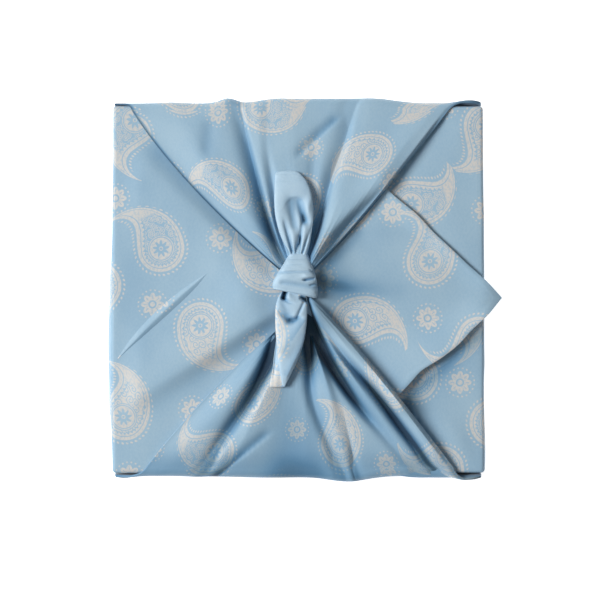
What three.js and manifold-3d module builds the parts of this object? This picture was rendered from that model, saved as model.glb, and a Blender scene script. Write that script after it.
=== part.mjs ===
// A furoshiki: one hemmed square of satin, folded and tied round a flat square gift box.
// The square lies cornerwise under the box. Its right corner is folded over the box first, its left
// corner over that one, with the tip hanging past the right edge. The two corners that are left come up
// over the back and front edges, draw together in pleats and end in a square knot with two short tails.
// Units are millimetres, +Z is up, and the origin is under the middle of the box, where the cloth rests.
import * as THREE from "three";
import Module from "manifold-3d";
import { mergeVertices } from "three/addons/utils/BufferGeometryUtils.js";

const wasm = await Module();
wasm.setup();

// ---------------------------------------------------------------- driving dimensions
const boxSide = 298;
const boxHeight = 30;
const boxEdgeRadius = 5;
const boxBevel = 3;
const boxClearance = 0.5; // from the box to the cloth on its sides
const clothThick = 1.2; // the satin with the air that it holds
const layerGap = 0.4; // between one layer of cloth and the next
const bendRadius = 4; // outside radius of the cloth where it turns over an edge

// Heights of the stack, from the surface up. Each level is the underside of that layer.
const boxBottom = clothThick + layerGap;
const boxTop = boxBottom + boxHeight;
const rightLevel = boxTop + layerGap;
const leftLevel = rightLevel + clothThick + layerGap;
const tieLevel = leftLevel + clothThick + layerGap;

const wallInside = boxSide / 2 + boxClearance; // inside of the first layer, which goes round all four sides
const wallOutside = wallInside + clothThick;
const tieWall = wallOutside + layerGap; // inside of the second layer, on the back and front

const knot = { x: -2, y: 10.5 };

// ---------------------------------------------------------------- small helpers
const lerp = THREE.MathUtils.lerp;
const clamp = THREE.MathUtils.clamp;
const bell = (distance, half) => Math.exp(-((distance / half) ** 2));
const smoothstep = THREE.MathUtils.smoothstep;
const steps = (count) => Array.from({ length: count + 1 }, (_, i) => i / count);

// A table with its columns named once: each row becomes an object.
function table(columns, rows) {
  const names = columns.split(" ");
  return rows.map((row) => Object.fromEntries(names.map((name, i) => [name, row[i]])));
}

// A value read from a table whose rows run up its column "at", with a straight line between two rows.
function readTable(rows, key, at) {
  const last = rows[rows.length - 1];
  if (at <= rows[0].at) return rows[0][key];
  if (at >= last.at) return last[key];
  const i = rows.findIndex((row) => row.at > at);
  const part = (at - rows[i - 1].at) / (rows[i].at - rows[i - 1].at);
  return lerp(rows[i - 1][key], rows[i][key], part);
}

// Height that a list of folds adds at a point. A fold is a ridge, or a trough where its height is
// negative, along a line. Its flanks are leftWide and rightWide, seen from its start.
function foldHeight(folds, x, y) {
  let height = 0;
  for (const f of folds) {
    const length = Math.hypot(f.toX - f.fromX, f.toY - f.fromY);
    const dirX = (f.toX - f.fromX) / length;
    const dirY = (f.toY - f.fromY) / length;
    const along = ((x - f.fromX) * dirX + (y - f.fromY) * dirY) / length;
    const across = (x - f.fromX) * dirY - (y - f.fromY) * dirX;
    const part = clamp(along, 0, 1);
    const fade = bell((along - part) * length, f.fade);
    const half = across > 0 ? f.rightWide : f.leftWide;
    const widen = lerp(1, f.widen, part);
    height += lerp(f.high, f.highEnd, part) * fade * bell(across, half * widen);
  }
  return height;
}

// ---------------------------------------------------------------- mesh makers
// Turns a list of points and a list of triangles into a manifold solid.
function solidFrom(points, triangles) {
  const geometry = new THREE.BufferGeometry();
  geometry.setAttribute("position", new THREE.Float32BufferAttribute(points.flat(), 3));
  geometry.setIndex(triangles.flat());
  const merged = mergeVertices(geometry, 1e-4);
  const index = merged.index.array;
  const kept = [];
  for (let i = 0; i < index.length; i += 3) {
    const [a, b, c] = [index[i], index[i + 1], index[i + 2]];
    if (a !== b && b !== c && c !== a) kept.push(a, b, c);
  }
  return new wasm.Manifold(
    new wasm.Mesh({
      numProp: 3,
      vertProperties: merged.attributes.position.array,
      triVerts: new Uint32Array(kept),
    }),
  );
}

// A sheet with a thickness: place(u, v, side) gives its under face at side 0 and its upper face at 1.
function sheetSolid(us, vs, place) {
  const points = [];
  const triangles = [];
  const number = (i, j, side) => (side * us.length + i) * vs.length + j;
  for (const side of [0, 1])
    for (const u of us) for (const v of vs) points.push(place(u, v, side));
  const quad = (a, b, c, d) => triangles.push([a, b, c], [a, c, d]);
  const lastU = us.length - 1;
  const lastV = vs.length - 1;
  for (let i = 0; i < lastU; i++)
    for (let j = 0; j < lastV; j++) {
      quad(number(i, j, 1), number(i + 1, j, 1), number(i + 1, j + 1, 1), number(i, j + 1, 1));
      quad(number(i, j, 0), number(i, j + 1, 0), number(i + 1, j + 1, 0), number(i + 1, j, 0));
    }
  for (let i = 0; i < lastU; i++) {
    quad(number(i, 0, 0), number(i + 1, 0, 0), number(i + 1, 0, 1), number(i, 0, 1));
    quad(number(i, lastV, 0), number(i, lastV, 1), number(i + 1, lastV, 1), number(i + 1, lastV, 0));
  }
  for (let j = 0; j < lastV; j++) {
    quad(number(0, j, 0), number(0, j, 1), number(0, j + 1, 1), number(0, j + 1, 0));
    quad(number(lastU, j, 0), number(lastU, j + 1, 0), number(lastU, j + 1, 1), number(lastU, j, 1));
  }
  return solidFrom(points, triangles);
}

// A closed skin over rings of points, which all have the same count, with a point at each end.
function ringSolid(rings, startPoint, endPoint) {
  const count = rings[0].length;
  const points = [...rings.flat(), startPoint, endPoint];
  const start = points.length - 2;
  const end = points.length - 1;
  const triangles = [];
  for (let i = 0; i < count; i++) {
    const next = (i + 1) % count;
    triangles.push([start, next, i]);
    triangles.push([end, (rings.length - 1) * count + i, (rings.length - 1) * count + next]);
    for (let r = 0; r < rings.length - 1; r++) {
      const [a, b] = [r * count + i, r * count + next];
      const [c, d] = [(r + 1) * count + next, (r + 1) * count + i];
      triangles.push([a, b, c], [a, c, d]);
    }
  }
  return solidFrom(points, triangles);
}

// ---------------------------------------------------------------- slack of the side walls
// How far the cloth stands out of the straight wall at a place along it, one row for each soft bulge.
const slackColumns = "name at half out";
const slackLeft = table(slackColumns, [["wholeSide", -45, 85, 5.2]]);
const slackRight = table(slackColumns, [
  ["underTip", -10, 90, 2.2],
  ["frontEnd", -135, 40, 2.6],
]);
const slackBack = table(slackColumns, [
  ["leftPleat", -57, 9, 4.2],
  ["middlePleat", -18, 20, 3.2],
  ["wideBulge", 20, 30, 3.6],
  ["rightBulge", 62, 24, 3.6],
  ["rightPocket", 140, 12, 2.6],
]);
const slackFront = table(slackColumns, [
  ["middleBulge", -20, 40, 1.6],
  ["rightBulge", 41, 22, 4.6],
  ["rightPocket", 137, 13, 3.2],
  ["leftPocket", -142, 9, 1.8],
]);
const slack = (rows, at) => rows.reduce((sum, row) => sum + row.out * bell(at - row.at, row.half), 0);

// ---------------------------------------------------------------- base: underside and first walls
// Rounded square, counterclockwise, with the same count of points at each size.
function roundedSquare(half, radius) {
  const perSide = 12;
  const perCorner = 3;
  const points = [];
  for (let side = 0; side < 4; side++) {
    const turn = (side * Math.PI) / 2;
    const flat = half - radius;
    for (let i = 0; i < perSide; i++)
      points.push(new THREE.Vector2(half, lerp(-flat, flat, i / perSide)).rotateAround({ x: 0, y: 0 }, turn));
    for (let i = 0; i < perCorner; i++) {
      const angle = ((i / perCorner) * Math.PI) / 2;
      const corner = new THREE.Vector2(flat + radius * Math.cos(angle), flat + radius * Math.sin(angle));
      points.push(corner.rotateAround({ x: 0, y: 0 }, turn));
    }
  }
  return points;
}

// The lip turns in over the box at the height of the layer that joins it: left cloth or right cloth.
const lip = { reach: 11, thick: clothThick - 0.2, sunk: 0.1, stepFrom: 20, stepTo: 90 };
const lipTop = (x) =>
  lerp(leftLevel, rightLevel, smoothstep(x, lip.stepFrom, lip.stepTo)) + clothThick - lip.sunk;

// A wall bulges most half way up, and the bulge dies out towards the lip and the underside.
const bulge = { top: boxTop + 6, reach: 8 };

function wallPoint(point, inset, z) {
  const out = Math.sin(Math.PI * clamp(z / bulge.top, 0, 1));
  const nearWall = bell(inset, bulge.reach);
  const left = point.x < 0 && Math.abs(point.x) > Math.abs(point.y) ? slack(slackLeft, point.y) : 0;
  const right = point.x > 0 && Math.abs(point.x) > Math.abs(point.y) ? slack(slackRight, point.y) : 0;
  return [point.x + (right - left) * out * nearWall, point.y, z];
}

function makeBase() {
  const cornerRadius = 6;
  const inner = bendRadius - clothThick;
  const arc = (k) => [Math.sin(k), 1 - Math.cos(k)];
  const quarter = [0, 0.5, 1].map((k) => (k * Math.PI) / 2);
  // inset is from the outside of the wall, z from the surface up, and top from the face of the lip down.
  const section = [];
  for (const k of quarter) section.push({ inset: bendRadius * (1 - arc(k)[0]), z: bendRadius * arc(k)[1] });
  section.push({ inset: 0, z: boxTop / 2 });
  for (const k of quarter)
    section.push({ inset: bendRadius * arc(k)[1], top: bendRadius * (1 - arc(k)[0]) });
  section.push({ inset: lip.reach, top: 0 });
  section.push({ inset: lip.reach, top: lip.thick });
  for (const k of [...quarter].reverse())
    section.push({ inset: clothThick + inner * arc(k)[1], top: lip.thick + inner * (1 - arc(k)[0]) });
  section.push({ inset: clothThick, z: boxTop / 2 });
  for (const k of [...quarter].reverse())
    section.push({ inset: clothThick + inner * (1 - arc(k)[0]), z: clothThick + inner * arc(k)[1] });
  const rings = section.map(({ inset, z, top }) =>
    roundedSquare(wallOutside - inset, Math.max(cornerRadius - inset, 1)).map((point) => {
      const height = top === undefined ? z : lipTop(point.x) - top;
      return wallPoint(point, inset, height);
    }),
  );
  return ringSolid(rings, [0, 0, 0], [0, 0, clothThick]);
}

// ---------------------------------------------------------------- the right and left corners
// The right cloth lies flat on the box, and its point ends under the left cloth.
function makeRightCloth() {
  const point = { x: -128, y: -6 };
  const join = wallOutside - bendRadius;
  const columns = 8;
  const rows = 8;
  return sheetSolid(steps(columns), steps(rows), (u, v, side) => {
    const y = lerp(-join, join, v);
    const end = point.x + Math.abs(y - point.y);
    return [lerp(end, join, u), y, rightLevel + side * clothThick];
  });
}

// Soft folds of the left cloth, which run to the knot, and the hems that stand off the right cloth.
const leftFolds = table("name fromX fromY toX toY leftWide rightWide widen high highEnd fade", [
  ["toKnotFront", -128, -112, -34, -24, 24, 20, 0.45, 1.6, 4.2, 26],
  ["toKnotBack", -118, 60, -36, 14, 26, 22, 0.4, 1.2, 3.2, 26],
  ["besideKnot", 34, 16, 96, 16, 20, 20, 1.2, 2.6, 1.2, 24],
  ["liftedHemFront", 84, -80, 150, -24, 15, 9, 0.7, 3.6, 2.4, 14],
  ["liftedHemBack", 76, 80, 150, 8, 7, 12, 0.8, 2.0, 2.0, 14],
]);

// The left cloth covers the left of the box and comes to its tip past the right edge.
const tip = { x: 166, y: -6.5, droop: 5 };
// Where the raw hem of the left cloth lies, as x at each y.
const leftHem = table("at x", [
  [-151, 14],
  [-86, 81.5],
  [-66, 100],
  [-46, 128],
  [-21, 153.5],
  [tip.y, tip.x],
  [6.5, 153],
  [48, 109],
  [82, 72],
  [151, 1],
]);

function leftHeight(x, y) {
  const flatRim = 14; // along the edges of the box the folds die out
  const overhang = clamp((x - wallOutside) / (tip.x - wallOutside), 0, 1);
  const edge = smoothstep(wallOutside - Math.max(Math.abs(y), -x), 0, flatRim);
  return leftLevel + foldHeight(leftFolds, x, y) * edge - tip.droop * overhang ** 2;
}

function makeLeftCloth() {
  const join = wallOutside - bendRadius;
  const columns = 16;
  const between = 2; // rows of the mesh for each row of the hem's table
  const ys = [-join];
  for (const [i, row] of leftHem.slice(1).entries())
    for (let k = 1; k <= between; k++)
      ys.push(clamp(lerp(Math.max(leftHem[i].at, -join), row.at, k / between), -join, join));
  return sheetSolid(steps(columns), ys, (u, y, side) => {
    const x = lerp(-join, readTable(leftHem, "x", y), u);
    return [x, y, leftHeight(x, y) + side * clothThick];
  });
}

// A narrow tuck pinched up in the left cloth, steep on its front side. part runs along it from the edge
// of the box, and back and front are how far it reaches to either side of its line.
const tuckFrom = { x: -147, y: -56 };
const tuckTo = { x: -74, y: 13 };
const tuckRows = table("part back front high", [
  [0, 0.3, 0.2, 0.1],
  [0.1, 2.2, 0.9, 0.9],
  [0.35, 3.2, 1.2, 1.6],
  [0.6, 3.0, 1.1, 1.6],
  [0.85, 1.8, 0.8, 1.0],
  [1, 0.3, 0.2, 0.1],
]);

function makeTuck() {
  const length = Math.hypot(tuckTo.x - tuckFrom.x, tuckTo.y - tuckFrom.y);
  const aside = { x: -(tuckTo.y - tuckFrom.y) / length, y: (tuckTo.x - tuckFrom.x) / length };
  const sunk = 0.5; // its foot lies in the thickness of the cloth
  const shoulder = 0.75; // height half way down its back side
  const pointAt = (part, across, up) => {
    const x = lerp(tuckFrom.x, tuckTo.x, part) + aside.x * across;
    const y = lerp(tuckFrom.y, tuckTo.y, part) + aside.y * across;
    return [x, y, leftHeight(x, y) + clothThick + up];
  };
  const rings = tuckRows.map((row) => [
    pointAt(row.part, -row.front, -sunk),
    pointAt(row.part, -row.front, 0),
    pointAt(row.part, 0, row.high),
    pointAt(row.part, row.back * 0.5, row.high * shoulder),
    pointAt(row.part, row.back, 0),
    pointAt(row.part, row.back, -sunk),
  ]);
  return ringSolid(rings.reverse(), pointAt(1, 0, -sunk / 2), pointAt(0, 0, -sunk / 2));
}

// ---------------------------------------------------------------- the two tied corners
// Each is a fan from a whole side of the box to the knot. left and right are the folded edges on top of
// the box, as the four points of a Bezier curve from the edge of the box to the knot.
const curve = (points) => new THREE.CubicBezierCurve(...points.map(([x, y]) => new THREE.Vector2(x, y)));

// Folds fan out with the cloth. edge, middle and end say where a fold lies, as a share of the width, at
// the edge of the box, half way and at the knot. leftWide and rightWide are its flanks at the edge of the
// box and shrink by widen at the knot. high and highEnd are its height there, below 0 for a trough.
const foldColumns = "name edge middle end leftWide rightWide widen high highEnd";

const backTie = {
  sign: 1,
  slackRows: slackBack,
  left: curve([[-138, 150], [-108, 104], [-62, 56], [-11, 13]]),
  right: curve([[127, 150], [98, 116], [52, 52], [10, 14]]),
  folds: table(foldColumns, [
    ["leftEdge", 0.1, 0.1, 0.12, 16, 14, 0.3, 0.8, 4],
    ["deepTrough", 0.27, 0.255, 0.25, 18, 6, 0.25, -1.2, -4.6],
    ["innerRidge", 0.345, 0.34, 0.37, 6, 13, 0.3, 3, 3.2],
    ["innerTrough", 0.43, 0.44, 0.46, 10, 10, 0.3, -0.4, -2.8],
    ["midRidge", 0.55, 0.55, 0.57, 14, 14, 0.25, 1.2, 2.6],
    ["rightTrough", 0.69, 0.695, 0.66, 12, 6, 0.3, -0.8, -2.8],
    ["rightRidge", 0.735, 0.75, 0.75, 6, 14, 0.3, 3, 3],
    ["rightRoll", 0.93, 0.925, 0.87, 14, 7, 0.35, 1.6, 3.8],
  ]),
};

const frontTie = {
  sign: -1,
  slackRows: slackFront,
  left: curve([[-128, -149.5], [-94, -106], [-56, -62], [-12, -4]]),
  right: curve([[129, -149.5], [98, -110], [60, -56], [9, -6]]),
  folds: table(foldColumns, [
    ["leftRidge", 0.07, 0.1, 0.12, 10, 15, 0.35, 2.4, 5],
    ["deepTrough", 0.2, 0.19, 0.24, 8, 8, 0.35, -1.2, -5],
    ["wideRidge", 0.33, 0.33, 0.36, 17, 19, 0.25, 2.2, 3],
    ["middleTrough", 0.5, 0.49, 0.46, 12, 12, 0.25, -0.4, -3],
    ["innerRidge", 0.64, 0.62, 0.55, 14, 11, 0.25, 2.6, 3.4],
    ["darkTrough", 0.75, 0.755, 0.63, 7, 8, 0.35, -0.6, -5.2],
    ["narrowRidge", 0.83, 0.815, 0.71, 8, 8, 0.35, 1.8, 2.2],
    ["tubeTrough", 0.9, 0.872, 0.79, 8, 6, 0.35, -1.8, -3.6],
    ["tubeEdge", 0.955, 0.938, 0.9, 8, 10, 0.35, 3.2, 5.2],
  ]),
};

// Where a fold lies at top, which runs from 0 at the edge of the box to 1 at the knot.
const foldShare = (fold, top) =>
  top < 0.5 ? lerp(fold.edge, fold.middle, top * 2) : lerp(fold.middle, fold.end, top * 2 - 1);

// The columns of a tied corner run along its folds, with the same count between each two neighbours.
function columnShares(folds, perGap, top) {
  const stops = [0, ...folds.map((fold) => foldShare(fold, top)), 1];
  const shares = [0];
  for (let k = 1; k < stops.length; k++)
    for (let i = 1; i <= perGap; i++) shares.push(lerp(stops[k - 1], stops[k], i / perGap));
  return shares;
}

// Height that the folds and the doubled side edges add, share of the way across a fan width wide.
function tieFoldHeight(tie, share, top, width) {
  let height = 0;
  for (const fold of tie.folds) {
    const across = (share - foldShare(fold, top)) * width;
    const half = (across > 0 ? fold.rightWide : fold.leftWide) * lerp(1, fold.widen, top);
    height += lerp(fold.high, fold.highEnd, top) * bell(across, half);
  }
  return height;
}

// The tied cloth climbs to the middle of the knot over the last stretch.
const climb = { high: 7.5, half: 46 };
const tieRise = (x, y) => climb.high * bell(Math.hypot(x - knot.x, y - knot.y), climb.half);

// Rows of a tied corner: first up the wall, then over the edge, then on the box from 0 to 1.
// wide is where the side edge lies, from the corner of the box at 0 to the folded edge at 1.
const tieRows = [
  { wall: 1.3, inset: 2.7, wide: 0 },
  { wall: 3, inset: 1.2, wide: 0 },
  { wall: 7, inset: 0, wide: 0 },
  { wall: 19, inset: 0, wide: 0.03 },
  { turn: 0, wide: 0.1 },
  { turn: 0.45, wide: 0.4 },
  { turn: 1, wide: 0.85 },
  ...[0.03, 0.09, 0.17, 0.27, 0.38, 0.5, 0.61, 0.71, 0.8, 0.88, 0.95, 1].map((top) => ({ top, wide: 1 })),
];

function makeTie(tie) {
  const perGap = 4; // columns between two folds
  const insideTurn = bendRadius - clothThick;
  const corner = wallOutside - 1;
  const edgeDouble = { thick: 0.9, wide: 5 }; // the cloth is folded under along its side edges
  const wallSlack = { from: 4, to: 30, power: 1.5 }; // a bulge starts above the foot of the wall
  const overEdge = 0.6; // share of a fold's height that is there where it turns over the box's edge
  const straight = 0.07; // share of the way to the knot over which the rows leave the box's edge
  const settled = 0.12; // share over which the cloth comes to its height on the layer below
  const columns = columnShares(tie.folds, perGap, 0).map((_, i) => i);
  const rows = tieRows.map((_, i) => i);
  return sheetSolid(columns, tie.sign > 0 ? [...rows].reverse() : rows, (column, i, side) => {
    const row = tieRows[i];
    const top = row.top === undefined ? 0 : row.top;
    const share = columnShares(tie.folds, perGap, top)[column];
    const left = tie.left.getPoint(top);
    const right = tie.right.getPoint(top);
    const leftX = lerp(-corner, left.x, row.wide);
    const rightX = lerp(corner, right.x, row.wide);
    const width = rightX - leftX;
    const x = lerp(leftX, rightX, share);
    const stand = slack(tie.slackRows, x);
    const nearEdge = bell(Math.min(share, 1 - share) * width, edgeDouble.wide);
    const thick = side * (clothThick + edgeDouble.thick * nearEdge);
    if (row.wall !== undefined) {
      const upWall = clamp((row.wall - wallSlack.from) / (wallSlack.to - wallSlack.from), 0, 1);
      const out = tieWall - row.inset + thick + stand * upWall ** wallSlack.power;
      return [x, tie.sign * out, row.wall];
    }
    const edgeHigh = tieLevel + Math.max(tieFoldHeight(tie, share, 0, width) * overEdge, 0);
    const radius = insideTurn + thick;
    if (row.turn !== undefined) {
      const angle = (row.turn * Math.PI) / 2;
      const out = tieWall - insideTurn + stand + radius * Math.cos(angle);
      return [x, tie.sign * out, edgeHigh - insideTurn + radius * Math.sin(angle)];
    }
    const straightEdge = tie.sign * (tieWall - insideTurn + stand);
    const y = lerp(lerp(left.y, right.y, share), straightEdge, bell(top, straight));
    const folded = Math.max(tieFoldHeight(tie, share, top, width) + tieRise(x, y), 0);
    const free = leftHeight(x, y) + clothThick + layerGap + folded;
    return [x, y, lerp(edgeHigh, free, smoothstep(top, 0, settled)) + thick];
  });
}

// ---------------------------------------------------------------- knot and tails
// A soft body lofted along Y. Each row of its table is a section: left and right are its sides,
// low and high its under and upper faces, and dip how far the middle of the upper face sinks.
function makeLoft(rows, pointsRound) {
  const flatness = 0.8; // below 1 its faces are flatter than an ellipse's
  const boxiness = 0.9;
  const dipHalf = 0.4;
  const rings = rows.map((row) => {
    const mid = (row.left + row.right) / 2;
    const half = (row.right - row.left) / 2;
    return steps(pointsRound - 1).map((_, i) => {
      const angle = (2 * Math.PI * i) / pointsRound;
      const across = Math.cos(angle);
      const up = Math.sin(angle);
      const centre = (row.low + row.high) / 2;
      const rise = ((row.high - row.low) / 2) * Math.sign(up) * Math.abs(up) ** flatness;
      const sink = up > 0 ? row.dip * bell(across - row.dipAt, dipHalf) * up : 0;
      return [mid + half * Math.sign(across) * Math.abs(across) ** boxiness, row.at, centre + rise - sink];
    });
  });
  const middle = (row) => [(row.left + row.right) / 2, row.at, (row.low + row.high) / 2];
  return ringSolid(rings, middle(rows[0]), middle(rows[rows.length - 1]));
}

const ground = leftLevel + clothThick; // top of the left cloth, which the knot sits over

// Sections run from high y to low y, so that each skin faces out. low and high are above the ground.
const sectionColumns = "at left right low high dip dipAt";
const sections = (rows) =>
  table(sectionColumns, rows).map((row) => ({ ...row, low: ground + row.low, high: ground + row.high }));

const knotRows = sections([
  [28.5, -4, 5, 5, 11, 0, 0],
  [27, -6.5, 7, 3, 14, 0.5, 0],
  [22, -10, 10, 1, 17.5, 0.4, 0],
  [14, -15, 13.5, 0.6, 20.5, 0, 0],
  [6, -18.6, 16, 0.6, 21, 0.9, 0.75],
  [-1, -20.4, 15.4, 1, 19, 0.4, 0.7],
  [-5, -16, 15, 2, 16, 0, 0],
  [-7.5, -9, 12, 4, 12, 0, 0],
]);

const upperTailRows = sections([
  [97, -17.6, -3, 8.5, 10.5, 0, 0],
  [93, -18.8, 3, 7.5, 11.5, 0, 0],
  [86, -19.4, 8, 6.5, 12.5, 0.2, 0],
  [76, -19.5, 11.4, 6.5, 13, 1.2, 0],
  [64, -19, 12.4, 7, 14, 2.6, 0.1],
  [52, -17, 11.6, 7.5, 15, 3.2, 0.15],
  [40, -12.5, 10.4, 8, 15.5, 2.8, 0.1],
  [31, -8, 8.2, 8, 15, 1.5, 0],
  [22, -5, 5, 8, 13, 0, 0],
]);

const lowerTailRows = sections([
  [0, -8, 5, 8, 14, 0, 0],
  [-8, -15, 6.6, 7, 15, 2, -0.4],
  [-15, -18.4, 7.8, 7, 14.5, 1.8, 0],
  [-28, -18, 7.2, 6.8, 13.5, 0.8, 0.2],
  [-44, -17.4, 4.6, 6.5, 12, 0.8, 0.3],
  [-58, -16, -0.8, 6.2, 11, 0.6, 0.3],
  [-70, -14, -6, 6, 10, 0, 0],
  [-78, -12.4, -10.4, 6, 8.5, 0, 0],
]);

// The end of the square that shows behind the lower tail, a flat fold of cloth.
const lowerEndRows = sections([
  [-38, -17.5, -10, 6, 9, 0, 0],
  [-52, -19.4, -10, 5.6, 8.4, 0, 0],
  [-66, -20.8, -11, 5.4, 7.6, 0, 0],
  [-78.6, -22.8, -12.4, 5.2, 7, 0, 0],
]);

// ---------------------------------------------------------------- assembly
function geometryOf(solid) {
  const made = solid.getMesh();
  const flat = new THREE.BufferGeometry();
  flat.setAttribute("position", new THREE.Float32BufferAttribute(Float32Array.from(made.vertProperties), 3));
  flat.setIndex(Array.from(made.triVerts));
  flat.computeVertexNormals();
  return flat;
}

function makeBox() {
  const half = boxSide / 2 - boxEdgeRadius;
  const shape = new THREE.Shape();
  shape.moveTo(-half, -boxSide / 2).lineTo(half, -boxSide / 2);
  shape.absarc(half, -half, boxEdgeRadius, -Math.PI / 2, 0, false).lineTo(boxSide / 2, half);
  shape.absarc(half, half, boxEdgeRadius, 0, Math.PI / 2, false).lineTo(-half, boxSide / 2);
  shape.absarc(-half, half, boxEdgeRadius, Math.PI / 2, Math.PI, false).lineTo(-boxSide / 2, -half);
  shape.absarc(-half, -half, boxEdgeRadius, Math.PI, Math.PI * 1.5, false);
  const geometry = new THREE.ExtrudeGeometry(shape, {
    depth: boxHeight - 2 * boxBevel,
    bevelEnabled: true,
    bevelSize: boxBevel,
    bevelOffset: -boxBevel,
    bevelThickness: boxBevel,
    bevelSegments: 3,
    curveSegments: 4,
  });
  return geometry.translate(0, 0, boxBottom + boxBevel);
}

const layers = [
  makeBase(),
  makeRightCloth(),
  makeLeftCloth(),
  makeTuck(),
  makeTie(backTie),
  makeTie(frontTie),
  makeLoft(knotRows, 20),
  makeLoft(upperTailRows, 18),
  makeLoft(lowerTailRows, 16),
  makeLoft(lowerEndRows, 8),
];
const clothSolid = layers.reduce((whole, layer) => whole.add(layer));

const satin = new THREE.MeshStandardMaterial({ color: 0x9ab8ce, roughness: 0.45, metalness: 0 });
const card = new THREE.MeshStandardMaterial({ color: 0xd9d5cc, roughness: 0.9, metalness: 0 });

const clothMesh = new THREE.Mesh(geometryOf(clothSolid), satin);
clothMesh.name = "cloth";
const boxMesh = new THREE.Mesh(makeBox(), card);
boxMesh.name = "box";

const wrap = new THREE.Group();
wrap.add(clothMesh, boxMesh);

export default wrap;
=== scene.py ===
import math

import bpy
import numpy as np
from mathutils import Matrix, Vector


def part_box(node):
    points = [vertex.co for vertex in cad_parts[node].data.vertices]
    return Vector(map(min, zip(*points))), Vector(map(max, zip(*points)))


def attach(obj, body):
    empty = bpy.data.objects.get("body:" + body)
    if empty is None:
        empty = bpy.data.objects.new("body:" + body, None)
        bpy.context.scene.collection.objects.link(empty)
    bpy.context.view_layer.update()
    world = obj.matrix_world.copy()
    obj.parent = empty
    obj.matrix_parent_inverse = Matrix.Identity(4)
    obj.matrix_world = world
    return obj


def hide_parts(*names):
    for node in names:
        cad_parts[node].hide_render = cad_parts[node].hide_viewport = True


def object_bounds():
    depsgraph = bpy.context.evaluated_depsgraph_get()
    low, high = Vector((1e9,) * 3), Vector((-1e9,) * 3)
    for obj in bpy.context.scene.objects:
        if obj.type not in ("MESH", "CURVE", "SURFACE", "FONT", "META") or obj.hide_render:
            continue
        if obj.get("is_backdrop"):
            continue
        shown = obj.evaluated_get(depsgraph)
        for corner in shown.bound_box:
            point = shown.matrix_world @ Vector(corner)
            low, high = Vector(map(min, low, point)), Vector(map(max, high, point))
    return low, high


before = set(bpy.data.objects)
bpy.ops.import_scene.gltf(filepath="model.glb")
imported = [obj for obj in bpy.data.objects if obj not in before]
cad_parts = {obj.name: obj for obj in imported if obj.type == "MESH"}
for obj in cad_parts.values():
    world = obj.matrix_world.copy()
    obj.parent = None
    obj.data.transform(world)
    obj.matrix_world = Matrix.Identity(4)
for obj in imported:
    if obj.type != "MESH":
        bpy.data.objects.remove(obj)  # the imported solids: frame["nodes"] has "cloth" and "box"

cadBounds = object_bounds()
mm = 0.001  # the tables below are in millimetres, the meshes in metres

# camera, floor and lights

studio = {
    "lens": 118.0,
    "sensor": 36.0,
    "clipEnd": 50000.0,
    "aim": (1.6, -8.5),  # what the middle of the view looks at
    "height": 1635.0,
    "floorSize": 12000.0,
    "floorDrop": 0.4,
    "floorColour": (0.93, 0.93, 0.93),
    "floorGlow": 0.82,
    "skyColour": (0.95, 0.97, 1.0),
    "skyStrength": 0.08,
    # name, place, size, watts, colour
    "lamps": [
        ("overhead", (150, 300, 2100), 1100, 6.0, (1.0, 0.985, 0.96)),
        ("leftKey", (-3400, 500, 3300), 2200, 258.0, (1.0, 0.98, 0.95)),
        ("rightFill", (1500, -500, 1100), 1100, 0.6, (0.94, 0.97, 1.0)),
    ],
}


def linkObject(thing):
    bpy.context.scene.collection.objects.link(thing)
    return thing


def newMaterial(name):
    material = bpy.data.materials.new(name)
    material.use_nodes = True
    return material, material.node_tree


def feed(tree, node, inlets):  # gives each inlet a number, a colour or a link from a socket or Wire
    for label, value in inlets.items():
        inlet = node.inputs[label]
        value = getattr(value, "socket", value)
        if isinstance(value, bpy.types.NodeSocket):
            tree.links.new(value, inlet)
        else:
            inlet.default_value = (*value, 1.0) if inlet.type == "RGBA" else value


def addNode(tree, kind, inlets=None, **settings):
    node = tree.nodes.new(kind)
    for label, value in settings.items():
        setattr(node, label, value)
    feed(tree, node, inlets or {})
    return node


def addCamera(cfg):
    data = bpy.data.cameras.new("topCamera")
    data.sensor_width = cfg["sensor"]
    data.lens = cfg["lens"]
    data.clip_end = cfg["clipEnd"] * mm
    camera = linkObject(bpy.data.objects.new("topCamera", data))
    camera.location = [value * mm for value in (*cfg["aim"], cfg["height"])]
    bpy.context.scene.camera = camera


def addLamp(name, place, size, watts, colour):
    data = bpy.data.lights.new(name, "AREA")
    data.shape = "DISK"
    data.size = size * mm
    data.energy = watts
    data.color = colour
    lamp = linkObject(bpy.data.objects.new(name, data))
    lamp.location = Vector(place) * mm
    lamp.rotation_euler = (-lamp.location).to_track_quat("-Z", "Y").to_euler()


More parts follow.
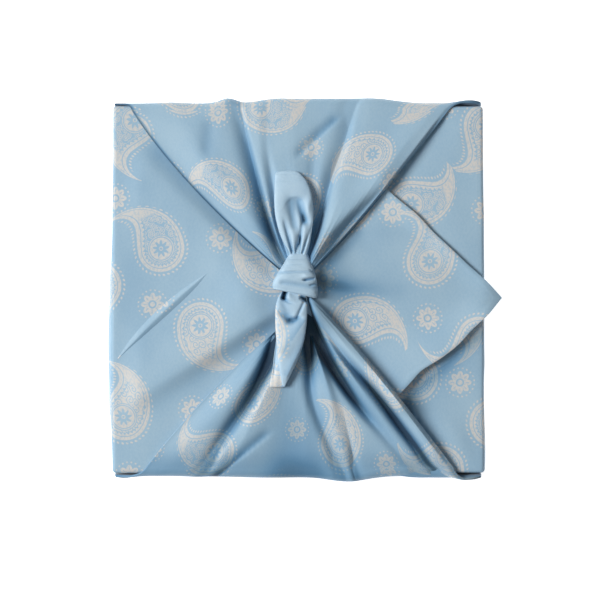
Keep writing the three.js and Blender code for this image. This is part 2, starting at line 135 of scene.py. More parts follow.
def addFloor(cfg):
    half = cfg["floorSize"] * mm / 2
    corners = [(-half, -half), (half, -half), (half, half), (-half, half)]
    mesh = bpy.data.meshes.new("floor")
    mesh.from_pydata([(x, y, -cfg["floorDrop"] * mm) for x, y in corners], [], [(0, 1, 2, 3)])
    floor = linkObject(bpy.data.objects.new("floor", mesh))
    material, tree = newMaterial("paleFloor")
    tree.nodes.clear()
    paper = addNode(tree, "ShaderNodeBsdfDiffuse", {"Color": cfg["floorColour"]})
    glow = addNode(tree, "ShaderNodeEmission", {"Strength": cfg["floorGlow"]})
    white = addNode(tree, "ShaderNodeAddShader", {0: paper.outputs[0], 1: glow.outputs[0]})
    clear = addNode(tree, "ShaderNodeBsdfTransparent")
    below = addNode(tree, "ShaderNodeNewGeometry").outputs["Backfacing"]
    mix = addNode(tree, "ShaderNodeMixShader", {0: below, 1: white.outputs[0], 2: clear.outputs[0]})
    addNode(tree, "ShaderNodeOutputMaterial", {"Surface": mix.outputs[0]})
    mesh.materials.append(material)
    floor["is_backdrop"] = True


def addStudio(cfg):
    addCamera(cfg)
    addFloor(cfg)
    for lamp in cfg["lamps"]:
        addLamp(*lamp)
    world = bpy.data.worlds.new("softRoom")
    world.use_nodes = True
    sky = world.node_tree.nodes["Background"]
    feed(world.node_tree, sky, {"Color": cfg["skyColour"], "Strength": cfg["skyStrength"]})
    bpy.context.scene.world = world
    bpy.context.scene.view_settings.view_transform = "Standard"


addStudio(studio)
print("studio is set")

# numbers and curves that all the surfaces use


def bell(distance, half):  # exp of minus the square of distance over half
    return np.exp(-((distance / half) ** 2))


def smoothstep(value, low, high):  # 0 below low, 1 above high, 3t2 - 2t3 between
    t = np.clip((value - low) / (high - low), 0, 1)
    return t * t * (3 - 2 * t)


def lerp(a, b, t):
    return a + (b - a) * t


def joined(*parts, axis=0):
    return np.concatenate(parts, axis=axis)


def readCurve(knots, values, at):  # cubic through the knots, with the slope of the two neighbours
    knots, values, at = (np.asarray(part, float) for part in (knots, values, at))
    slopes = np.gradient(values, knots)
    i = np.clip(np.searchsorted(knots, at) - 1, 0, len(knots) - 2)
    gap = knots[i + 1] - knots[i]
    t = np.clip((at - knots[i]) / gap, 0, 1)
    start = (2 * t**3 - 3 * t**2 + 1) * values[i] + (t**3 - 2 * t**2 + t) * gap * slopes[i]
    end = (3 * t**2 - 2 * t**3) * values[i + 1] + (t**3 - t**2) * gap * slopes[i + 1]
    return start + end


def bezier(points, t):  # cubic Bezier curve through four points, one row for each t
    a, b, c, d = np.array(points, float)
    t = t[:, None]
    return a * (1 - t) ** 3 + 3 * b * t * (1 - t) ** 2 + 3 * c * t**2 * (1 - t) + d * t**3


def softNoise(x, y, cell, seed):  # random heights from -1 to 1 on a lattice, joined by smoothsteps
    size = 64  # cells after which it repeats
    lattice = np.random.default_rng(seed).uniform(-1, 1, (size, size))
    gx, gy = x / cell, y / cell
    i, j = np.floor(gx).astype(int), np.floor(gy).astype(int)
    fx, fy = smoothstep(gx - i, 0, 1), smoothstep(gy - j, 0, 1)
    corner = lambda a, b: lattice[(i + a) % size, (j + b) % size]
    return lerp(lerp(corner(0, 0), corner(1, 0), fx), lerp(corner(0, 1), corner(1, 1), fx), fy)


# Ridges along straight lines, or troughs where high is below 0. Each row adds
# height * bell(across, width) * bell(past, fade), where across is measured square to the line and past
# beyond its ends. From end to end the height goes from high to highEnd, and the width grows widen times.
def lineFolds(rows, x, y):
    total = np.zeros_like(x)
    for fromX, fromY, toX, toY, leftWide, rightWide, widen, high, highEnd, fade in rows:
        length = math.hypot(toX - fromX, toY - fromY)
        dirX, dirY = (toX - fromX) / length, (toY - fromY) / length
        along = (x - fromX) * dirX + (y - fromY) * dirY
        across = (x - fromX) * dirY - (y - fromY) * dirX
        part = np.clip(along / length, 0, 1)
        wide = np.where(across > 0, rightWide, leftWide) * lerp(1, widen, part)
        total += lerp(high, highEnd, part) * bell(across, wide) * bell(along - part * length, fade)
    return total


def slack(rows, at):  # soft bulges of a wall: the sum of out * bell(distance along the wall, half)
    return sum(out * bell(at - centre, half) for centre, half, out in rows)


def gridFaces(patch, start):
    number = start + np.arange(patch["shade"].size).reshape(patch["shade"].shape)
    quads = np.stack([number[:-1, :-1], number[1:, :-1], number[1:, 1:], number[:-1, 1:]], axis=-1)
    return quads.reshape(-1, 4)[:, ::-1 if patch.get("flip") else 1]


# Each patch is a grid of points in millimetres, with their place on the flat cloth and how much
# painted shade they get: most in folds, along edges and in the pockets.
def makePiece(name, patches, material):
    points = joined(*(patch["points"].reshape(-1, 3) for patch in patches)) * mm
    flats = joined(*(patch["flat"].reshape(-1, 2) for patch in patches)) * mm
    shades = joined(*(patch["shade"].ravel() for patch in patches))
    starts = np.cumsum([0] + [patch["shade"].size for patch in patches])
    quads = joined(*(gridFaces(patch, start) for patch, start in zip(patches, starts)))
    mesh = bpy.data.meshes.new(name)
    mesh.from_pydata(points.tolist(), [], quads.tolist())
    corner = np.empty(len(mesh.loops), np.int32)
    mesh.loops.foreach_get("vertex_index", corner)
    layer = mesh.uv_layers.new(name="flatCloth")
    layer.data.foreach_set("uv", flats[corner].astype(np.float32).ravel())
    paintedShade = mesh.attributes.new("paintedFoldShade", "FLOAT", "POINT")  # painted shade: 0 on open cloth, 1 where folds, edges and pockets are painted darkest
    paintedShade.data.foreach_set("value", np.clip(shades, 0, 1).astype(np.float32))
    mesh.polygons.foreach_set("use_smooth", np.ones(len(mesh.polygons), bool))
    mesh.materials.append(material)
    piece = linkObject(bpy.data.objects.new(name, mesh))
    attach(piece, "root")
    return piece


# the material: satin weave and a silver print

satin = {
    "blue": (0.335, 0.495, 0.625),
    "deepBlue": (0.275, 0.44, 0.59),
    "silver": (0.60, 0.59, 0.575),
    # painted shade: what is left of the light half way and all the way down between two folds
    "foldShadeColour": (0.34, 0.545, 0.70),
    "deepShadeColour": (0.012, 0.08, 0.14),
    "roughness": 0.62,
    "silverRoughness": 0.50,
    "specular": 0.5,
    "sheen": 0.2,
    "sheenRoughness": 0.45,
    "weaveBump": (0.25, 0.06 * mm),  # strength, and height of the floats
}

# the ends are pulled tight in the knot; their paler colours are painted sheen for the light that the
# stretched satin catches there
paintedSheen = {"blue": (0.43, 0.595, 0.73), "deepBlue": (0.36, 0.53, 0.69), "silver": (0.68, 0.665, 0.64)}

# noises of the weave: scale across and along the warp, for each metre, and detail
weave = {
    "height": (2600.0, 420.0, 1.0),  # long floats of the satin
    "tone": (26.0, 18.0, 3.0),  # soft unevenness of the dye
    "speckle": (1500.0, 1500.0, 2.0),
    "grain": (560.0, 420.0, 3.0),
}

# the print, in millimetres on the flat cloth
paisley = {
    "pitch": (84.0, 76.0),  # half-drop repeat
    "layout": (3.0, 5.0),  # other numbers turn the motifs in other ways
    "blossomShift": (37.0, -32.0),  # from a boteh to the blossom beside it
    "bulb": 19.0,  # radius of the round end of a boteh
    "bulbDown": 12.0,  # its middle, below the middle of the cell
    "reach": 51.0,  # from there to the tip
    "bend": 1.2,  # angle by which the tip is bent round
    "rim": 2.6,  # width of the line along the outline
    "scallopPitch": 4.2,
    "dotPitch": 3.3,
    "dotRadius": 0.85,
    "dotsOut": 2.6,  # the dots lie this much outside the outline
    "flowerCells": 0.21,  # cells of the lace for each millimetre
    "curlCells": 0.15,
}


class Wire:  # a socket of a node tree that takes + - * / as math nodes
    def __init__(self, tree, socket):
        self.tree = tree
        self.socket = socket

    def op(self, operation, *others):
        node = addNode(self.tree, "ShaderNodeMath", dict(enumerate((self, *others))), operation=operation)
        return Wire(self.tree, node.outputs[0])

    def __add__(self, other):
        return self.op("ADD", other)

    def __sub__(self, other):
        return self.op("SUBTRACT", other)

    def __mul__(self, other):
        return self.op("MULTIPLY", other)

    def __truediv__(self, other):
        return self.op("DIVIDE", other)

    def rest(self):  # 1 minus itself
        return self * -1.0 + 1.0

    def over(self, edge, soft):  # 0 below edge, 1 above edge, blended over soft
        values = {"Value": self, "From Min": edge - soft, "From Max": edge + soft}
        node = addNode(self.tree, "ShaderNodeMapRange", values, interpolation_type="SMOOTHSTEP")
        return Wire(self.tree, node.outputs["Result"])

    def under(self, edge, soft):  # 1 below edge, 0 above edge
        return (self * -1.0).over(-edge, soft)

    def between(self, low, high, soft):  # 1 between low and high
        return self.over(low, soft) * self.under(high, soft)


def newGroup(name, inlets, outlets):  # inlets with their kinds, and outlets that are all numbers
    group = bpy.data.node_groups.new(name, "ShaderNodeTree")
    for label, kind in inlets.items():
        group.interface.new_socket(label, in_out="INPUT", socket_type=kind)
    for label in outlets:
        group.interface.new_socket(label, in_out="OUTPUT", socket_type="NodeSocketFloat")
    return group, group.nodes.new("NodeGroupInput"), group.nodes.new("NodeGroupOutput")


def splitXY(tree, socket):
    node = addNode(tree, "ShaderNodeSeparateXYZ", {0: socket})
    return Wire(tree, node.outputs["X"]), Wire(tree, node.outputs["Y"])


def joinXY(tree, x, y):
    return addNode(tree, "ShaderNodeCombineXYZ", {"X": x, "Y": y}).outputs[0]


def turned(x, y, cosine, sine):  # x and y turned by an angle
    return x * cosine - y * sine, x * sine + y * cosine


# Fillings, one for each cell of a Voronoi pattern: a small open flower with a thin ring round it, and a
# curl, the line on which the angle about the middle and three times the distance add up to a whole turn.
def makeLaceGroup(cfg):
    group, start, end = newGroup("laceFill", {"place": "NodeSocketVector"}, ("flowers", "curls"))
    place = start.outputs["place"]
    x, y = splitXY(group, place)

    def cells(scale):  # distance from the middle of the cell, and the angle about it
        values = {"Vector": place, "Scale": scale, "Randomness": 0.75}
        node = addNode(group, "ShaderNodeTexVoronoi", values, voronoi_dimensions="2D")
        centreX, centreY = splitXY(group, node.outputs["Position"])
        return Wire(group, node.outputs["Distance"]), (y - centreY).op("ARCTAN2", x - centreX)

    distance, angle = cells(cfg["flowerCells"])
    petals = (angle * 6.0).op("COSINE") * 0.13 + 0.27
    flower = (petals - distance).over(0.0, 0.04) * distance.over(0.09, 0.03)
    ring = (distance - 0.50).op("ABSOLUTE").under(0.05, 0.03)
    distance, angle = cells(cfg["curlCells"])
    turns = (angle / (2 * math.pi) + distance * 3.0).op("FRACT")
    curl = (turns - 0.5).op("ABSOLUTE").under(0.16, 0.07) * distance.under(0.58, 0.04)
    feed(group, end, {"flowers": flower.op("MAXIMUM", ring), "curls": curl})
    return group


# A boteh, the leaf of a paisley. inside is the distance to its outline, above 0 within it, and roundWay
# the way along it. The bulb is a circle. From there the half width runs to the tip as
# bulb * cos(quarter turn * part) ^ 1.1, and the whole is bent by bend * (distance / reach) ^ 2. It is
# filled with silver flowers, or where style is 1 with silver that blue curls run through.
def makeBotehGroup(cfg, lace):
    inlets = {label: "NodeSocketFloat" for label in ("x", "y", "style")}
    group, start, end = newGroup("botehPrint", inlets, ("mask",))
    bulb, reach, dotPitch = cfg["bulb"], cfg["reach"], cfg["dotPitch"]
    x, y, style = (Wire(group, start.outputs[label]) for label in inlets)
    y = y + cfg["bulbDown"]
    far = (x * x + y * y).op("SQRT")
    twist = (far / reach).op("POWER", 2.0) * cfg["bend"]
    x, y = turned(x, y, twist.op("COSINE"), twist.op("SINE"))
    share = (y / reach).op("MAXIMUM", 0.0).op("MINIMUM", 1.0)
    half = (share * (math.pi / 2)).op("COSINE").op("POWER", 1.1) * bulb
    past = (y - reach).op("MAXIMUM", 0.0)
    aside = (x * x + past * past).op("SQRT")
    above = y.over(0.0, 0.01)
    inside = (half - aside) * above + (far * -1.0 + bulb) * above.rest()
    roundWay = x.op("ARCTAN2", y * -1.0) * bulb * above.rest() + (y + bulb * math.pi / 2) * above

    rim = inside.between(0.0, cfg["rim"], 0.25)
    wave = (roundWay * (math.pi / cfg["scallopPitch"])).op("SINE").op("ABSOLUTE") * 1.8 + 3.9
    scallop = inside.over(3.3, 0.2) * (wave - inside).over(0.0, 0.25)
    field = inside.over(6.2, 0.3)
    tip = inside.over(3.4, 0.2) * y.over(reach * 0.56, 1.5)

    petals = (x.op("ARCTAN2", y) * 9.0).op("COSINE") * 1.6 + 5.4
    rosette = (petals - far).under(0.0, 0.3) + far.under(1.7, 0.3) - far.under(0.9, 0.2)
    disc = far.under(9.0, 0.2) * rosette
    halo = far.between(9.8, 10.5, 0.2)
    centre = disc.op("MAXIMUM", halo) * inside.over(6.0, 0.2)

    laceNode = addNode(group, "ShaderNodeGroup", {"place": joinXY(group, x, y)}, node_tree=lace)
    flowers = Wire(group, laceNode.outputs["flowers"]) * style.rest()
    curls = Wire(group, laceNode.outputs["curls"]).rest() * style
    filling = (flowers + curls) * field * far.over(11.2, 0.2)

    dotAlong = ((roundWay / dotPitch).op("FRACT") - 0.5) * dotPitch
    dotAcross = inside + cfg["dotsOut"]
    dots = (dotAlong * dotAlong + dotAcross * dotAcross).op("SQRT").under(cfg["dotRadius"], 0.25)
    dots = dots * y.under(reach * 0.8, 1.0)

    mask = rim
    for part in (scallop, filling, centre, tip, dots):
        mask = mask.op("MAXIMUM", part)
    feed(group, end, {"mask": mask})
    return group


# The print: one boteh in each cell of a half-drop repeat, turned its own way, and a blossom beside it. The
# blossom has eight petals, each with a line down its middle, an eye, and a ring of dots outside.
def makePrintGroup(cfg, boteh):
    group, start, end = newGroup("silverPrint", {"flat": "NodeSocketVector"}, ("mask",))
    wide, high = cfg["pitch"]
    x, y = splitXY(group, start.outputs["flat"])
    turn = math.sqrt(0.5) / mm  # the repeat follows the sides of the cloth, at 45 degrees to the box

    def cell(shiftX, shiftY):  # place in the cell, and the cell's column and row
        u, v = (x + y) * turn + shiftX, (y - x) * turn + shiftY
        column = (u / wide).op("FLOOR")
        v = v + (column * 0.5).op("FRACT") * high
        row = (v / high).op("FLOOR")
        return u - (column + 0.5) * wide, v - (row + 0.5) * high, column, row

    localX, localY, column, row = cell(0.0, 0.0)
    place = joinXY(group, column + cfg["layout"][0], row + cfg["layout"][1])
    chance = addNode(group, "ShaderNodeTexWhiteNoise", {"Vector": place}, noise_dimensions="2D")
    angle = Wire(group, chance.outputs["Value"]) * (2 * math.pi)
    shade = addNode(group, "ShaderNodeSeparateColor", {0: chance.outputs["Color"]})
    mirror = Wire(group, shade.outputs["Green"]).op("GREATER_THAN", 0.5) * 2.0 - 1.0
    style = Wire(group, shade.outputs["Blue"]).op("GREATER_THAN", 0.4)
    turnedX, turnedY = turned(localX, localY, angle.op("COSINE"), angle.op("SINE"))
    values = {"x": turnedX * mirror, "y": turnedY, "style": style}
    leaf = Wire(group, addNode(group, "ShaderNodeGroup", values, node_tree=boteh).outputs["mask"])

    blossomX, blossomY = cell(*cfg["blossomShift"])[:2]
    far = (blossomX * blossomX + blossomY * blossomY).op("SQRT")
    angle = blossomX.op("ARCTAN2", blossomY)
    petals = (angle * 4.0).op("COSINE").op("ABSOLUTE") * 3.2 + 6.2
    vein = (angle * 8.0).op("COSINE").over(0.93, 0.04) * far.between(4.6, 7.4, 0.3)
    eye = far.between(2.0, 3.4, 0.25)
    blossom = (petals - far).over(0.0, 0.3) - vein - eye
    dots = (angle * 20.0).op("COSINE").over(0.35, 0.25) * far.between(11.0, 12.2, 0.3)
    feed(group, end, {"mask": leaf.op("MAXIMUM", blossom).op("MAXIMUM", dots)})
    return group


def makeWeaveGroup(cfg):  # one noise for each row of the table, turned to follow the sides of the cloth
    group, start, end = newGroup("satinWeave", {"flat": "NodeSocketVector"}, cfg)
    for label, (wide, long, detail) in cfg.items():
        values = {"Vector": start.outputs["flat"], "Scale": (wide, long, 1.0),
                  "Rotation": (0, 0, math.radians(45))}
        place = addNode(group, "ShaderNodeMapping", values).outputs[0]
        values = {"Vector": place, "Scale": 1.0, "Detail": detail}
        noise = addNode(group, "ShaderNodeTexNoise", values, noise_dimensions="2D")
        feed(group, end, {label: noise.outputs["Fac"]})
    return group


def mixColour(tree, factor, first, second, blend="MIX"):
    values = {0: factor, 6: first, 7: second}
    return addNode(tree, "ShaderNodeMix", values, data_type="RGBA", blend_type=blend).outputs[2]


def addBump(tree, shader, height, strength, distance):
    values = {"Height": height, "Strength": strength, "Distance": distance}
    feed(tree, shader, {"Normal": addNode(tree, "ShaderNodeBump", values).outputs[0]})


weaveGroup = makeWeaveGroup(weave)
printGroup = makePrintGroup(paisley, makeBotehGroup(paisley, makeLaceGroup(paisley)))


def makeSatin(name, cfg, printed):
    material, tree = newMaterial(name)
    shader = tree.nodes["Principled BSDF"]
    flat = addNode(tree, "ShaderNodeUVMap", uv_map="flatCloth").outputs["UV"]
    cloth = addNode(tree, "ShaderNodeGroup", {"flat": flat}, node_tree=weaveGroup)
    tone, speckle, grain = (Wire(tree, cloth.outputs[label]) for label in ("tone", "speckle", "grain"))
    colour = mixColour(tree, (tone * 0.6 + grain * 0.4).over(0.5, 0.25), cfg["deepBlue"], cfg["blue"])
    if printed:
        pattern = addNode(tree, "ShaderNodeGroup", {"flat": flat}, node_tree=printGroup)
        cover = Wire(tree, pattern.outputs["mask"]) * (grain.over(0.46, 0.14) * 0.42 + 0.58)
        colour = mixColour(tree, cover, colour, cfg["silver"])
        gloss = cover * (cfg["silverRoughness"] - cfg["roughness"]) + (cfg["roughness"] - 0.02)
        rough = gloss + speckle * 0.04
    else:
        rough = speckle * 0.06 + (cfg["roughness"] - 0.03)
    # painted shade: the colour is multiplied down towards the two shade colours by the painted shade of
    # each point
    paintedShade = Wire(tree, addNode(tree, "ShaderNodeAttribute", attribute_name="paintedFoldShade").outputs["Fac"])
    paintedShadeColour = mixColour(tree, (paintedShade * 1.7).op("MINIMUM", 1.0), (1.0, 1.0, 1.0), cfg["foldShadeColour"])
    paintedShadeColour = mixColour(tree, paintedShade.over(0.72, 0.28), paintedShadeColour, cfg["deepShadeColour"])
    colour = mixColour(tree, 1.0, colour, paintedShadeColour, "MULTIPLY")
    feed(tree, shader, {"Base Color": colour, "Roughness": rough})
    shader.inputs["Specular IOR Level"].default_value = cfg["specular"]
    shader.inputs["Sheen Weight"].default_value = cfg["sheen"]
    shader.inputs["Sheen Roughness"].default_value = cfg["sheenRoughness"]
    addBump(tree, shader, cloth.outputs["height"], *cfg["weaveBump"])
    return material


printedSatin = makeSatin("printedSatin", satin, True)
# paler copies of the satin with painted sheen, for the knot and its tails
tiedSheenSatin = makeSatin("tiedSheenSatin", {**satin, **paintedSheen}, True)
plainSheenSatin = makeSatin("plainSheenSatin", {**satin, **paintedSheen}, False)
print("materials are made")

# the envelope of cloth round the box: underside, side walls, and the left and right corners on top

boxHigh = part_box("box")[1]
boxHalf = boxHigh.x / mm
boxTop = boxHigh.z / mm
flatEdge = 150.0  # on the flat cloth, from its middle to the edge of the box

wrap = {
    "halfSide": boxHalf + 1.7,  # outside of the left and right walls
    "halfDepth": boxHalf + 0.4,  # outside of the inner cloth at the back and front
    "bend": 2.6,  # radius where the cloth turns over an edge
    # angle by which each end column has turned round the edge of the box, and how far in behind it is
    "endColumns": [(0.5, 0), (1.05, 0), (math.pi / 2, 0), (math.pi / 2, 5), (math.pi / 2, 11)],
    "endTuck": 0.2,  # the end of the wall goes in behind that of the top
    "endDark": 0.72,  # painted shade where the cloth goes down into the pockets at the corners
    "rimDark": 0.16,  # painted shade on the left wall and its edges
    "innerIn": 0.35,  # the inner walls lie inside halfDepth by this
    # painted shade on the inner walls, which show only in the gaps of the pockets
    "innerDark": 0.45,
    "rightTop": boxTop + 1.6,
    "rightTip": (-128.0, -6.0),  # the right corner ends here, under the left one
    "leftTop": boxTop + 3.2,
    "tieLift": 1.6,  # the tied cloth lies this much over the left cloth
    "bulgeTop": boxTop + 6.0,
    "flatRim": 24.0,  # folds die out over this distance from the edges of the box
    "tip": (166.0, -6.7),
    "tipDroop": 3.2,
    "hemWide": 4.6,
    "hemRise": 0.28,
    "hemRound": 0.3,
    "hemSink": 0.3,  # its last 2 mm go down by this, except past the box
    "stitch": (0.16, 0.9, 0.5),  # depth, distance from the hem's inner edge, half width
    # place along the wall, half width, how far it stands out
    "slackLeft": [(-45, 85, 5.2), (70, 16, 0.7), (8, 9, 0.5), (-96, 11, 0.7)],
    "slackRight": [(-10, 90, 2.2), (-135, 40, 2.6), (60, 14, 0.5), (-60, 12, 0.6)],
    # y and x along the hem, from the front edge to the tip, and from the tip to the back edge
    "hemFront": [(-151, 16), (-120, 47), (-85.8, 81.4), (-74.4, 91.9), (-66.3, 99.3), (-56.5, 114.7),
                 (-46, 128.5), (-32.1, 141.6), (-21.6, 153), (-6.7, 166)],
    "hemBack": [(-6.7, 166), (6.9, 153), (19.9, 138.3), (33, 124.5), (47.6, 109), (62.2, 95.2),
                (72, 83), (81.8, 71.6), (110, 43), (151, 2)],
    # fromX fromY toX toY leftWide rightWide widen high highEnd fade
    "leftFolds": [
        (-124, -82, -34, -25, 42, 10, 0.9, 3, 7.8, 22),
        (-117, 94, -33, 13, 11, 38, 0.9, 2.2, 5, 22),
        (10, 28, 12, -16, 20, 21, 1, 7, 7, 14),
        (40, 18, 100, 18, 20, 20, 1.2, 2, 1, 24),
        (88, -85, 154, -29, 30, 9, 0.7, 6.8, 4.4, 14),
        (76, 80, 150, 8, 7, 12, 0.8, 2.6, 2.2, 14),
        (62, 44, 104, 40, 12, 10, 1, -1.2, -1.2, 14),
        (55, -20, 125, -22, 14, 12, 1, -0.9, -0.9, 20),
    ],
    # painted shade and painted shadows beside the ties, under the hem and in troughs: the same columns,
    # with how dark at both ends in place of the heights
    "leftDark": [
        (-128, -20, -128, 140, 30, 30, 1, 0.07, 0.07, 20),
        (-110, 110, -38, 36, 9, 9, 1, 0.26, 0.2, 14),
        (-100, 92, -28, 22, 14, 26, 1, 0.04, 0.1, 20),
        (-112, -92, -26, -32, 6, 9, 1, 0.05, 0.26, 14),
        (-138, -62, -72, 2, 16, 16, 1, 0.05, 0.09, 10),
        (30, 12, 40, -2, 14, 14, 1, 0.24, 0.18, 12),
        (22, -22, 86, -88, 8, 2, 1, 0.3, 0.24, 10),
        (70, 46, 100, 42, 10, 10, 1, 0.06, 0.06, 12),
        (15, 3.8, 80, -1.5, 7.5, 7.5, 1.1, 0.62, 0.14, 8),
        (15, 12, 48, 46, 2, 6, 1, 0.48, 0.34, 6),
    ],
    # painted shade and painted shadows on the right corner, the same columns
    "rightDark": [
        (58, 58, 118, 140, 1.5, 2.6, 1, 0.42, 0.42, 4),
        (88, -96, 124, -143, 2.6, 1.5, 1, 0.45, 0.45, 4),
        (84, -92, 150, -34, 3, 7, 1, 0.55, 0.45, 10),
        (90, -98, 150, -40, 6, 16, 1, 0.16, 0.1, 12),
        (92, -100, 128, -142, 8, 4, 1, 0.22, 0.1, 12),
    ],
    "rightFolds": [
        (146, -146, 112, -96, 10, 8, 1.6, 1.5, 0.3, 12),
        (146, -128, 96, -104, 7, 9, 1.5, 0.9, 0.2, 12),
        (146, 140, 108, 96, 9, 12, 1.4, 0.9, 0.2, 12),
        (120, 70, 146, 20, 16, 20, 1, 0.5, 0.4, 20),
    ],
}


def hemX(cfg, y):  # where the hem of the left corner lies at each y
    front = readCurve(*zip(*cfg["hemFront"]), y)
    back = readCurve(*zip(*cfg["hemBack"]), y)
    return np.where(y < cfg["tip"][1], front, back)


def hiddenX(cfg, y):  # and where the right corner ends under it
    return np.abs(y - cfg["rightTip"][1]) + cfg["rightTip"][0]


# Top face of the left corner: leftTop + (folds + faint waves) * settle - tipDroop * past ^ 2. settle grows
# from 0 at the edges of the box to 1 at flatRim, and past runs from 0 at the right edge to 1 at the tip.
def leftTopHeight(cfg, x, y):
    rim = np.minimum(cfg["halfSide"] - np.abs(y), cfg["halfSide"] + x)
    settle = smoothstep(rim, 0, cfg["flatRim"])
    folds = np.maximum(lineFolds(cfg["leftFolds"], x, y), -0.05)
    waves = 0.22 * softNoise(x, y, 34, 3) + 0.10 * softNoise(x + 7, y, 15, 4)
    past = np.clip((x - cfg["halfSide"]) / (cfg["tip"][0] - cfg["halfSide"]), 0, 1)
    return cfg["leftTop"] + (folds + waves) * settle - cfg["tipDroop"] * past**2


def rightTopHeight(cfg, x, y):  # top face of the right corner: rightTop + (folds + waves) * settle
    rim = np.minimum(cfg["halfSide"] - np.abs(y), cfg["halfSide"] - x)
    settle = smoothstep(rim, 0, cfg["flatRim"])
    waves = 0.18 * softNoise(x, y, 30, 9)
    return cfg["rightTop"] + (np.maximum(lineFolds(cfg["rightFolds"], x, y), 0) + waves) * settle


# One half of the envelope: side is -1 for the left and 1 for the right. Rows run from the middle of the
# underside out to the wall, up it and in over the box, with a quarter circle of radius bend at both edges.
# The wall stands out by slack * sin(half turn * height / bulgeTop). Columns run from front to back, and at
# both ends they turn round the edge of the box, moving in by bend * (1 - cos(turn)), go on behind it, and
# get painted shade of the end shade * sin(turn) ^ 4. The top also gets its rows of painted shade, and the
# left wall and its edges the rim's painted shade.
def envelopeHalf(cfg, side, top, slackRows, findEnd, topHeight, topShares, hem, dark):
    bend, half = cfg["bend"], cfg["halfSide"]
    quarter = np.linspace(0, np.pi / 2, 6)
    under = np.linspace(0, 1, 13)[:-1]
    wall = np.linspace(0, 1, 12)[1:-1]
    out = joined(under * (half - bend), half - bend + bend * np.sin(quarter),
                 np.full(len(wall), half), half - bend + bend * np.cos(quarter))
    up = joined(0 * under, bend - bend * np.cos(quarter),
                lerp(bend, top - bend, wall), top - bend + bend * np.sin(quarter))
    normalX = joined(0 * under, np.sin(quarter), 1 + 0 * wall, np.cos(quarter))
    normalZ = joined(0 * under - 1, -np.cos(quarter), 0 * wall, np.sin(quarter))

    edgeY = cfg["halfDepth"] - bend
    tipY = cfg["tip"][1]
    ys = joined(np.linspace(-edgeY, tipY, 52)[:-1], np.linspace(tipY, edgeY, 56))
    endTurn, endBehind = np.array(cfg["endColumns"]).T
    y = joined(0 * endTurn - edgeY, ys, 0 * endTurn + edgeY)
    turn = joined(endTurn[::-1], 0 * ys, endTurn)
    behind = joined(endBehind[::-1], 0 * ys, endBehind)
    sign = np.sign(y)

    bulge = slack(slackRows, y) * np.sin(np.pi * np.clip(up / cfg["bulgeTop"], 0, 1))[:, None]
    x = side * (out[:, None] + bulge)
    z, nx, nz = (part[:, None] + 0 * y for part in (up, side * normalX, normalZ))

    endX = findEnd(cfg, y)
    topX = lerp(x[-1], endX, topShares[:, None])
    topZ = topHeight(cfg, topX, y + 0 * topX)
    if hem:
        fromEdge = (endX - topX) * math.sqrt(0.5)
        hemWide = cfg["hemWide"]
        deep, fromHem, stitchHalf = cfg["stitch"]
        topZ = topZ + cfg["hemRise"] * smoothstep(-fromEdge, -hemWide - 0.5, -hemWide + 0.3)
        topZ = topZ - deep * bell(fromEdge - hemWide + fromHem, stitchHalf)
        topZ = topZ - cfg["hemSink"] * smoothstep(-fromEdge, -2.0, 0) * smoothstep(half - topX, -2, 6)
    x, z = joined(x, topX), joined(z, topZ)
    nx, nz = joined(nx, 0 * topX), joined(nz, 0 * topX + 1)
    if hem:  # the edge turns under in a half circle and goes back below
        radius = cfg["hemRound"]
        arc = np.linspace(0, np.pi, 5)[1:]
        back = np.array([3.0, hemWide + 1.5])
        curlX = joined(radius * np.sin(arc), -back)[:, None]
        curlZ = joined(radius * (np.cos(arc) - 1), 0 * back - 2 * radius)[:, None]
        x, z = joined(x, x[-1] + curlX), joined(z, z[-1] + curlZ)
        nx, nz = joined(nx, 0 * (curlX + y)), joined(nz, 0 * (curlX + y) + 1)

    steps = np.hypot(np.diff(x, axis=0), np.diff(z, axis=0))
    length = joined(np.zeros((1, len(y))), np.cumsum(steps, axis=0))
    offset = bend * (1 - np.cos(turn)) + behind
    tucked = cfg["endTuck"] * np.abs(nx) * (behind > 0)
    endY = y + sign * (bend * np.sin(turn) - tucked)
    points = np.stack([x - nx * offset, endY, z - nz * offset], axis=-1)
    flat = np.stack([side * length, y + sign * (bend * turn + behind) + 0 * x], axis=-1)
    # painted shade: the rows of painted shade and shadow on the top
    paintedShade = lineFolds(dark, points[:, :, 0], points[:, :, 1]) * (nz > 0.5)
    # painted shade on the left wall and its edges, and at the ends that go into the pockets
    paintedShade = paintedShade + cfg["rimDark"] * np.abs(nx) * (side < 0) + cfg["endDark"] * np.sin(turn) ** 4
    return {"points": points, "flat": flat, "flip": side > 0, "shade": paintedShade}


def leftHalf(cfg):
    shares = joined(np.linspace(0, 0.9, 84)[1:], np.linspace(0.9, 1, 22)[1:])
    return envelopeHalf(cfg, -1, cfg["leftTop"], cfg["slackLeft"], hemX, leftTopHeight, shares, True,
                        cfg["leftDark"])


def rightHalf(cfg):
    shares = np.linspace(0, 1, 46)[1:]
    return envelopeHalf(cfg, 1, cfg["rightTop"], cfg["slackRight"], hiddenX, rightTopHeight, shares, False,
                        cfg["rightDark"])


# The inner wall behind each tied corner: a plain strip from edge to edge of the box, with an even painted
# shade.
def innerWall(cfg, sign):
    x = np.linspace(-cfg["halfSide"] + 5, cfg["halfSide"] - 5, 30)
    z = np.linspace(2.5, cfg["rightTop"] - 2.5, 6)[:, None]
    x, z = np.broadcast_arrays(x, z)
    points = np.stack([x, 0 * x + sign * (cfg["halfDepth"] - cfg["innerIn"]), z], axis=-1)
    flat = np.stack([x, sign * (flatEdge + z)], axis=-1)
    return {"points": points, "flat": flat, "flip": sign < 0, "shade": 0 * x + cfg["innerDark"]}


# the two corners that are tied over the box

